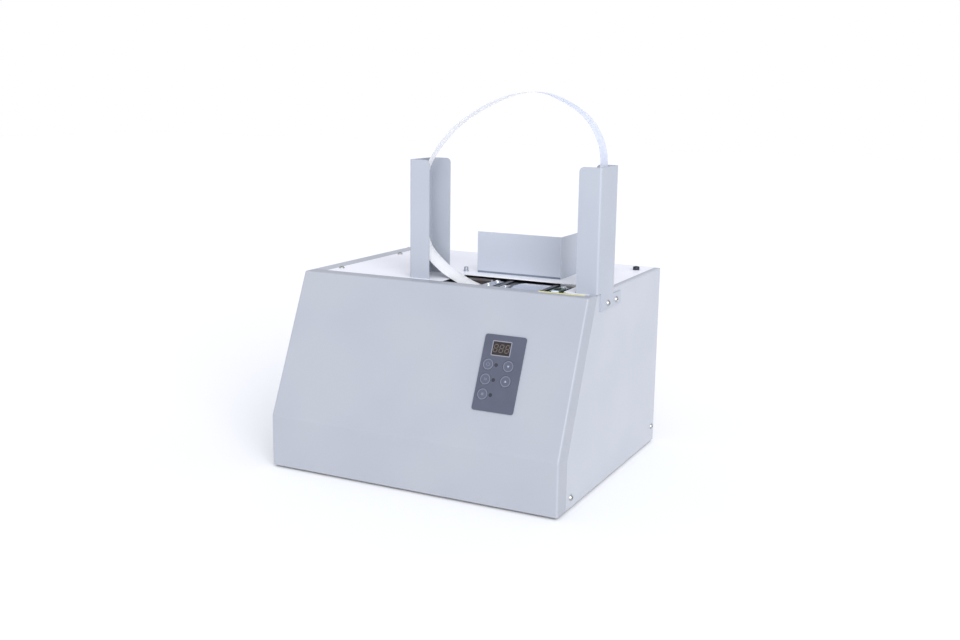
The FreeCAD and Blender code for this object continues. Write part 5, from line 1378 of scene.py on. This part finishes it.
@dataclass
class PaperStrap:
    """The strap as one thin ribbon carried along its route.

    The route is a chain of places with headings, joined by tangent arcs. A section across the
    strap is laid at each point: across is the Y axis turned by the local twist about the route.
    """

    width: float = 25.0
    thick: float = 0.32
    crown: tuple[float, float] = (1.02, 0.6)  # the section's half is half * sqrt(a - b * s * s)
    route: tuple[Place, ...] = (
        (-128.75, 32.2, 0), (172.7, 32.2, 0), (183.3, 42.8, 90), (183.3, 205, 90),
        (191.6, 262, 90), (193.2, 397, 90), (190.4, 419.9, 107.6), (174.4, 448.7, 131.4),
        (140.8, 471.8, 154.8), (100.5, 481.8, 180), (54.9, 471.8, 202), (0.7, 441.4, 215.8),
        (-27, 413.6, 231.2), (-42.7, 389.6, 243), (-49.7, 363, 263), (-51.4, 328, 270),
        (-49, 291.6, 287), (-34.5, 270.5, 318), (-9, 252, 332), (9, 243.4, 335),
        (24, 238.6, 347), (31, 237.6, 355),
    )  # X, Z and the heading in degrees over the X axis
    steps: int = 9
    twists: tuple[tuple[float, float], ...] = (
        (0, 0), (10, 0), (12, -8), (13, -14), (14, -8), (15, 0), (16, 6), (17, 9), (19, 9),
        (20, 6), (21, 0),
    )  # number of a place on the route and the twist there, in degrees
    blend: int = 25
    columns: int = 9

    @staticmethod
    def arc(start: np.ndarray, heading: np.ndarray, end: np.ndarray, steps: int) -> np.ndarray:
        """Points on the arc that leaves start along heading and reaches end, end left out.

        With chord c and side s (heading turned left), the radius is c.c / (2 s.c).

        Args:
            start: First point.
            heading: Unit direction at the first point.
            end: Last point.
            steps: Points on the arc.

        Returns:
            The points, two columns.
        """
        chord = end - start
        side = np.array([-heading[1], heading[0]])
        sag = side @ chord
        t = np.linspace(0, 1, steps, endpoint=False)[:, None]
        if abs(sag) < 1e-6 * np.linalg.norm(chord):
            return start + chord * t
        radius = chord @ chord / (2 * sag)
        centre = start + side * radius
        sweep = 2 * np.arctan2(sag, heading @ chord)
        base = start - centre
        c, s = np.cos(sweep * t), np.sin(sweep * t)
        return centre + np.hstack([base[0] * c - base[1] * s, base[0] * s + base[1] * c])

    def stretch(self, first: Place, last: Place) -> list[np.ndarray]:
        """Two tangent arcs from one place of the route to the next.

        They meet at (p + q + (u - v) d) / 2, with headings u and v, where d makes both arcs
        reach it along one common direction.

        Args:
            first: X, Z and heading in degrees where the stretch begins.
            last: The same where it ends.

        Returns:
            Points of each arc.
        """
        p, q = np.array(first[:2], float), np.array(last[:2], float)
        headings = np.radians([first[2], last[2]])
        u, v = np.column_stack([np.cos(headings), np.sin(headings)])
        chord, both, bend = q - p, u + v, 2 * (1 - u @ v)
        along = chord @ both
        if bend < 1e-9:
            reach = chord @ chord / (4 * chord @ v)
        else:
            reach = (-along + np.sqrt(along * along + bend * chord @ chord)) / bend
        middle = (p + q + (u - v) * reach) / 2
        turn = 2 * np.arctan2(np.array([-u[1], u[0]]) @ (middle - p), u @ (middle - p))
        c, s = np.cos(turn), np.sin(turn)
        heading = np.array([u[0] * c - u[1] * s, u[0] * s + u[1] * c])
        return [self.arc(p, u, middle, self.steps), self.arc(middle, heading, q, self.steps)]

    def line(self) -> tuple[np.ndarray, np.ndarray]:
        """Middle line of the strap and the twist at each of its points.

        Returns:
            Points in X and Z, and the twist in radians.
        """
        parts = []
        for first, last in zip(self.route, self.route[1:]):
            parts += self.stretch(first, last)
        points = np.vstack([*parts, np.array([self.route[-1][:2]], float)])
        places = np.arange(len(points)) / (2 * self.steps)
        knots = np.array(self.twists, float)
        twist = np.radians(np.interp(places, knots[:, 0], knots[:, 1]))
        kernel = np.hanning(self.blend) / np.hanning(self.blend).sum()
        padded = np.pad(twist, self.blend // 2, mode="edge")
        return points, np.convolve(padded, kernel, mode="valid")

    def build(self) -> None:
        """Carry a slightly cambered section along the line and close its ends."""
        line, twist = self.line()
        tangent = np.gradient(line, axis=0)
        tangent /= np.linalg.norm(tangent, axis=1)[:, None]
        normal = np.column_stack([-tangent[:, 1], 0 * twist, tangent[:, 0]])
        sideways = np.tile((0.0, 1.0, 0.0), (len(line), 1))
        c, s = np.cos(twist)[:, None], np.sin(twist)[:, None]
        across, outward = sideways * c + normal * s, normal * c - sideways * s
        spread = np.linspace(-1, 1, self.columns)
        camber = self.thick / 2 * np.sqrt(self.crown[0] - spread**2 * self.crown[1])
        top = np.stack([spread * self.width / 2, camber], -1)
        ring = np.vstack([top, top[::-1] * (1, -1)])
        middle = centre_of("paper_strap")[1]
        centre = np.column_stack([line[:, 0], np.full(len(line), middle), line[:, 1]])
        spots = (
            centre[:, None, :]
            + across[:, None, :] * ring[None, :, :1]
            + outward[:, None, :] * ring[None, :, 1:]
        )
        surface = Surface().grid(spots, around=True)
        # the ring's outer half is marked one, where the paper finish paints shade outside the loop
        surface.recess[0] = np.tile(np.repeat([0.0, 1.0], len(spread)), len(line))
        surface.lid(spots[0], flip=True).lid(spots[-1])
        piece = surface.piece("paper_strap_ribbon", PAPER, "housing", "paper", 40)
        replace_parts(piece, "paper_strap")


# ---------------------------------------------------------------------------------------------
# Table details, head, drive, reel and power
# ---------------------------------------------------------------------------------------------


@dataclass
class TableDetails:
    """Yellow tape, a grey-blue painted shadow strip at the stop's foot, turned pin, dark stud and a
    small screw.

    Sections are given as (y, z) round their own foot, and turned profiles as (radius, height).
    """

    tape: tuple[tuple[float, float], ...] = (
        (0.0, 0.0), (2.6, 0.0), (2.6, 0.25), (2.3, 0.45), (0.3, 0.45), (0.0, 0.25),
    )
    tape_gap: float = 0.02
    # section of the painted shadow strip along the stop's foot
    shadow_section: tuple[tuple[float, float], ...] = (
        (1.5, 0.14), (0.68, 0.7), (0.15, 1.5), (-0.04, 2.3), (-0.5, 2.15), (-0.8, 1.5),
        (-0.8, 0.6), (-0.6, 0.02),
    )
    shadow_insets: tuple[float, float] = (1.0, 0.9)
    pin: tuple[tuple[float, float], ...] = (
        (0.0, 0.0), (3.6, 0.0), (3.6, 1.0), (2.9, 1.3), (2.9, 5.2), (2.2, 6.0), (0.0, 6.0),
    )
    pin_place: tuple[float, float] = (-16.3, 12.0)
    stud: tuple[tuple[float, float], ...] = (
        (0.0, 0.0), (4.5, 0.0), (4.5, 3.6), (3.9, 4.4), (2.4, 4.6), (2.0, 5.0), (0.0, 5.0),
    )
    stud_place: tuple[float, float] = (176.5, 141.5)
    screw: ScrewHead = field(default_factory=lambda: ScrewHead(2.0, 0.9, 3.0, 0.3, 1.1, 0.45))
    screw_place: tuple[float, float] = (172.5, -66.0)
    screw_turn: float = 0.6

    def trims(self, table: float) -> None:
        """Tape on the lip, and a grey-blue strip along the stop's foot as painted shadow.

        Args:
            table: Height of the table's face.
        """
        low, high = corners("edge_trim")
        lift = np.array((low[1], table + self.tape_gap))
        strip = carried(np.array(self.tape) + lift, low[0], high[0])
        trim = Surface().grid(strip, around=True, flip=True).lid(strip[0])
        trim.lid(strip[1], flip=True)
        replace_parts(trim.piece("edge_tape", TAPE, "housing", "yellow_trim"), "edge_trim")
        # painted shadow: a grey-blue strip along the stop's foot stands for the shade under its
        # front edge
        low, high = corners("stack_stop")
        shadow_section = np.array(self.shadow_section) + (low[1], table)
        roll = carried(shadow_section, low[0] + self.shadow_insets[0], high[0] - self.shadow_insets[1])
        shadow_mesh = Surface().grid(roll, around=True).lid(roll[0], flip=True).lid(roll[1])
        shadow_mesh.piece("stop_foot_painted_shadow", SHADOW_STRIP, "housing", "black_rubber")

    def build(self) -> None:
        """Tape and painted shadow strip, turned pin and stud with chamfers, and the small screw."""
        table = corners("top_plate")[1][2]
        self.trims(table)
        pin = turned(self.pin, (*self.pin_place, table))
        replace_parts(pin.piece("table_pin", ZINC, "housing", "zinc"), "table_studs")
        stud = turned(self.stud, (*self.stud_place, table))
        stud.piece("table_stud", DARK_STEEL, "housing", "zinc")
        small = self.screw.made((*self.screw_place, table), (0, 0, 1), self.screw_turn)
        small.piece("lip_screw", DARK_STEEL, "housing", "zinc")


@dataclass
class StrappingHead:
    """Frame plates, guide block, presses, bridges, anvil and heater under the table."""

    bridges: tuple[float, float] = (50.0, 140.0)  # X of the left and of the right one
    left_screws: tuple[float, float] = (-56.0, -29.5)
    left_turn: float = 0.4
    right_screw: float = -27.5
    right_turn: float = 0.2
    bridge_screw: ScrewHead = field(
        default_factory=lambda: ScrewHead(3.9, 2.2, 6.0, 0.5, 1.9, 1.5, Recess.HEX)
    )
    facing_middle: tuple[float, float] = (86.0, -39.0)
    facing_round: tuple[float, float] = (7.0, 21.0)
    facing_right: float = 123.2
    facing_chamfer: float = 1.7
    facing_thick: float = 1.1
    facing_edge: float = 0.4
    clamp: Plate = Plate(66.5, -58.5, 9.5, 15.0, 2.0, 1.3, 0.4)
    clamp_screw: ScrewHead = field(
        default_factory=lambda: ScrewHead(2.6, 1.2, 6.0, 0.5, 1.2, 0.9, Recess.HEX)
    )
    clamp_screw_place: tuple[float, float] = (71.2, -51.0)
    clamp_screw_turn: float = 0.3
    spring_start: Place = (40.5, -57.0, 241.6)
    spring_length: float = 30.0
    spring_radius: float = 1.5
    spring_wire: float = 0.36
    spring_turns: int = 19
    turn_points: int = 14
    post: tuple[tuple[float, float], ...] = (
        (0.0, 0.0), (1.0, 0.0), (1.0, 13.2), (1.5, 13.4), (1.5, 14.6), (1.0, 15.0), (0.0, 15.0),
    )
    posts: tuple[float, float] = (-58.6, -25.4)
    board: Plate = Plate(134.0, -59.5, 12.0, 27.0, 1.2, 1.1, 0.2)
    chip: Plate = Plate(137.0, -50.0, 6.0, 9.0, 0.4, 1.2, 0.25)
    plug: Plate = Plate(139.5, -66.5, 9.0, 5.0, 0.8, 6.0, 0.6)
    plug_drop: float = 3.7  # from the bridge's face down to the plug's underside
    leads: tuple[float, float] = (150.6, 154.4)
    lead_route: tuple[Place, ...] = (
        (-4.6, -66.9, 243.0), (0.0, -68.0, 241.0), (0.6, -58.0, 238.5), (0.8, -40.0, 236.0),
        (0.4, -20.0, 234.5),
    )
    lead_radius: float = 1.5
    bar: Plate = Plate(130.0, -14.5, 27.0, 4.5, 0.8, 4.8, 0.3)
    bar_gap: float = 0.1

    def dress(self) -> None:
        """Finishes of the head's CAD nodes."""
        dress(ZINC, "head_frame_left", "head_frame_right", "frame_screws")
        dress(
            STEEL, "frame_tie_rods", "grip_bridges", "left_press", "centre_press", "right_press",
            "cutter_blade",
        )
        dress(DARK_STEEL, "heater_blade", "anvil_plate", "anvil_guide")
        dress(MILLED, "press_guide_block", "heater_block")
        dress(BROWN, "strap_guide")
        dress(BRASS, "camshaft_bushes")

    def screws(self, top: float) -> None:
        """Socket screws in the left bridge and in the sensor board's bridge.

        Args:
            top: Height of the bridges' faces.
        """
        up = (0, 0, 1)
        heads = Surface()
        left, right = self.bridges
        for y in self.left_screws:
            heads.join(self.bridge_screw.made((left, y, top), up, self.left_turn + y))
        spot = (right, self.right_screw, top)
        heads.join(self.bridge_screw.made(spot, up, self.right_turn))
        heads.piece("bridge_screws", NICKEL, "housing", "zinc", 50)

    def facing(self, top: float) -> None:
        """Polished facing with a round left end on the anvil, and its clamp with a screw.

        Args:
            top: Height of the anvil's face.
        """
        (x, y), (deep, half) = self.facing_middle, self.facing_round
        turn = np.linspace(np.pi / 2, 3 * np.pi / 2, 25)
        west = np.column_stack([x + deep * np.cos(turn), y + half * np.sin(turn)])
        right, cut = self.facing_right, self.facing_chamfer
        east = np.array([(right - cut, -half), (right, cut - half), (right, half - cut),
                         (right - cut, half)]) + (0, y)
        outline = np.vstack([west, east])
        facing = slab(outline, top, top + self.facing_thick, self.facing_edge)
        facing.piece("anvil_facing", POLISHED, "anvil", "steel")
        self.clamp.on(top).piece("anvil_clamp", NICKEL, "anvil", "steel")
        spot = (*self.clamp_screw_place, top + self.clamp.thick)
        screw = self.clamp_screw.made(spot, (0, 0, 1), self.clamp_screw_turn)
        screw.piece("anvil_clamp_screw", NICKEL, "anvil", "steel", 50)

    def spring(self, block: float) -> None:
        """Tension spring beside the strap guide, hooked over two posts.

        The wire runs along (x + r cos a, y, z + r sin a) with y rising in proportion to a.

        Args:
            block: Height of the guide block's face, where the posts stand.
        """
        x, y, z = self.spring_start
        reach = np.linspace(0, 1, self.spring_turns * self.turn_points)
        angle = 2 * np.pi * self.spring_turns * reach
        across, up = self.spring_radius * np.cos(angle), self.spring_radius * np.sin(angle)
        path = np.column_stack([x + across, y + self.spring_length * reach, z + up])
        tube(path, self.spring_wire, 8).piece("return_spring", NICKEL, "housing", "steel")
        posts = Surface()
        for place in self.posts:
            posts.join(turned(self.post, (x, place, block), 20))
        posts.piece("spring_posts", NICKEL, "housing", "steel")

    def sensor(self, low: float) -> None:
        """Small sensor board on the right bridge, its chip, its white plug and two leads.

        Args:
            low: Height of the bridge's face.
        """
        self.board.on(low).piece("sensor_board", BOARD, "housing", "circuit")
        chip = self.chip.on(low + self.board.thick)
        chip.piece("sensor_chip", BLACK, "housing", "black_plastic")
        plug = self.plug.on(low - self.plug_drop)
        plug.piece("sensor_plug", PLUG, "housing", "white_plastic")
        for index, x in enumerate(self.leads):
            path = smooth_path(np.array(self.lead_route) + (x, 0, 0))
            lead = tube(path, self.lead_radius)
            lead.piece(f"sensor_lead_{index + 1}", LEAD, "housing", "black_rubber")

    def rail(self, under: float) -> None:
        """Plated bar under the table's rear edge, beside the anvil's rail.

        Args:
            under: Height of the table's underside.
        """
        bar = self.bar.on(under - self.bar_gap - self.bar.thick)
        bar.piece("table_support_bar", ZINC, "housing", "zinc")

    def build(self) -> None:
        """Screws, anvil facing, spring, sensor and bar, on the CAD nodes that carry them."""
        bridge_top = corners("grip_bridges")[1][2]
        self.screws(bridge_top)
        self.facing(corners("anvil_plate")[1][2])
        self.spring(corners("press_guide_block")[1][2])
        self.sensor(bridge_top)
        self.rail(corners("top_plate")[0][2])


@dataclass
class Drive:
    """Camshaft, gears, motors, rollers and their brackets."""

    def dress(self) -> None:
        """Finishes of the drive's CAD nodes."""
        dress(STEEL, "camshaft", "press_cams", "cam_gear", "roller_pins")
        dress(BRASS, "motor_pinion")
        dress(MILLED, "motor_gearbox")
        dress(ENAMEL, "drive_motor", "feed_motor")
        dress(ZINC, "feed_bracket", "idler_bracket")
        dress(ROLLER, "feed_roller", "pinch_roller")
        dress(WHITE, "idler_roller")


@dataclass
class Reel:
    """Paper roll between its flanges on the stand."""

    def dress(self) -> None:
        """Finishes of the reel's CAD nodes; the roll's rings lie round the reel's axis."""
        dress(WHITE, "tape_reel")
        dress(WoundPaper("wound_paper_edges", tuple(centre_of("tape_reel"))), "paper_roll")
        dress(ZINC, "reel_stand")


@dataclass
class Power:
    """Transformer, mains inlet and power switch at the rear.

    Places of the inlet's contacts and screws are given from the inlet's middle, and those of
    the rocker's prints as the depth behind the rear panel, the height and the face's direction.
    """

    contacts_off: tuple[tuple[float, float], ...] = ((-7.0, -1.5), (0.0, 2.25), (7.0, -1.5))
    contact: Plate = Plate(-1.12, -2.12, 2.24, 4.24, 0.5, 11.12, 0.4)
    contact_root: float = -11.0
    screw: ScrewHead = field(default_factory=lambda: ScrewHead(2.7, 1.0, 4.0, 0.4, 1.6, 0.7))
    screw_off: float = 20.0
    screw_turn: float = 0.5
    print_ends: tuple[float, float] = (-0.02, 0.05)
    ring: tuple[float, ...] = (-1.7, -1.7, 3.4, 3.4, 1.68, 12)  # as rounded() takes them
    ring_share: float = 0.7
    ring_place: tuple[float, float] = (2.4, 53.65)
    ring_out: Place = (0, 0.994, -0.111)
    bar: tuple[float, ...] = (-0.3, -1.6, 0.6, 3.2, 0.1)
    bar_place: tuple[float, float] = (3.4, 46.7)
    bar_out: Place = (0, 0.925, 0.38)

    def dress(self) -> None:
        """Finishes of the power parts' CAD nodes."""
        dress(CORE, "transformer")
        dress(BLACK, "power_inlet", "switch_frame", "power_rocker")

    def contacts(self, back: float) -> None:
        """Plated sleeves over the inlet's three blades, and the two screws of its flange.

        Args:
            back: Y of the rear panel's face.
        """
        x, _, z = centre_of("power_inlet")
        face = corners("power_inlet")[1][1]
        for index, (across, up) in enumerate(self.contacts_off):
            blade = self.contact.on(self.contact_root)
            blade.moved(frame_matrix((x + across, back, z + up), (0, 1, 0)))
            blade.piece(f"inlet_contact_{index + 1}", NICKEL, "housing", "steel")
        heads = Surface()
        for side in (-1, 1):
            spot = (x + self.screw_off * side, face, z)
            heads.join(self.screw.made(spot, (0, 1, 0), self.screw_turn + side))
        heads.piece("inlet_screw_heads", ZINC, "housing", "zinc", 50)

    def marks(self, back: float) -> None:
        """Ring and bar printed on the two faces of the power rocker.

        Args:
            back: Y of the rear panel's face.
        """
        x = centre_of("power_rocker")[0]
        edge = rounded(*self.ring)
        ring = loop(edge, edge * self.ring_share, *self.print_ends)
        deep, up = self.ring_place
        ring.moved(frame_matrix((x, back + deep, up), self.ring_out))
        ring.piece("rocker_ring", MARK, "rocker", "white_plastic")
        bar = Surface().prism(rounded(*self.bar), *self.print_ends)
        deep, up = self.bar_place
        bar.moved(frame_matrix((x, back + deep, up), self.bar_out))
        bar.piece("rocker_bar", MARK, "rocker", "white_plastic")

    def build(self) -> None:
        """Contacts, flange screws and rocker marks."""
        back = corners("rear_panel")[1][1]
        self.contacts(back)
        self.marks(back)


def main() -> None:
    """Dress and build each sub-assembly in order."""
    logging.basicConfig(level=logging.INFO, format="%(message)s")
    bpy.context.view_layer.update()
    Studio().build()
    housing = Housing()
    housing.dress()
    housing.screws()
    panel = ControlPanel()
    panel.dress()
    panel.build()
    PaperStrap().build()
    TableDetails().build()
    head = StrappingHead()
    head.dress()
    head.build()
    Drive().dress()
    Reel().dress()
    power = Power()
    power.dress()
    power.build()


if __name__ == "__main__":
    main()
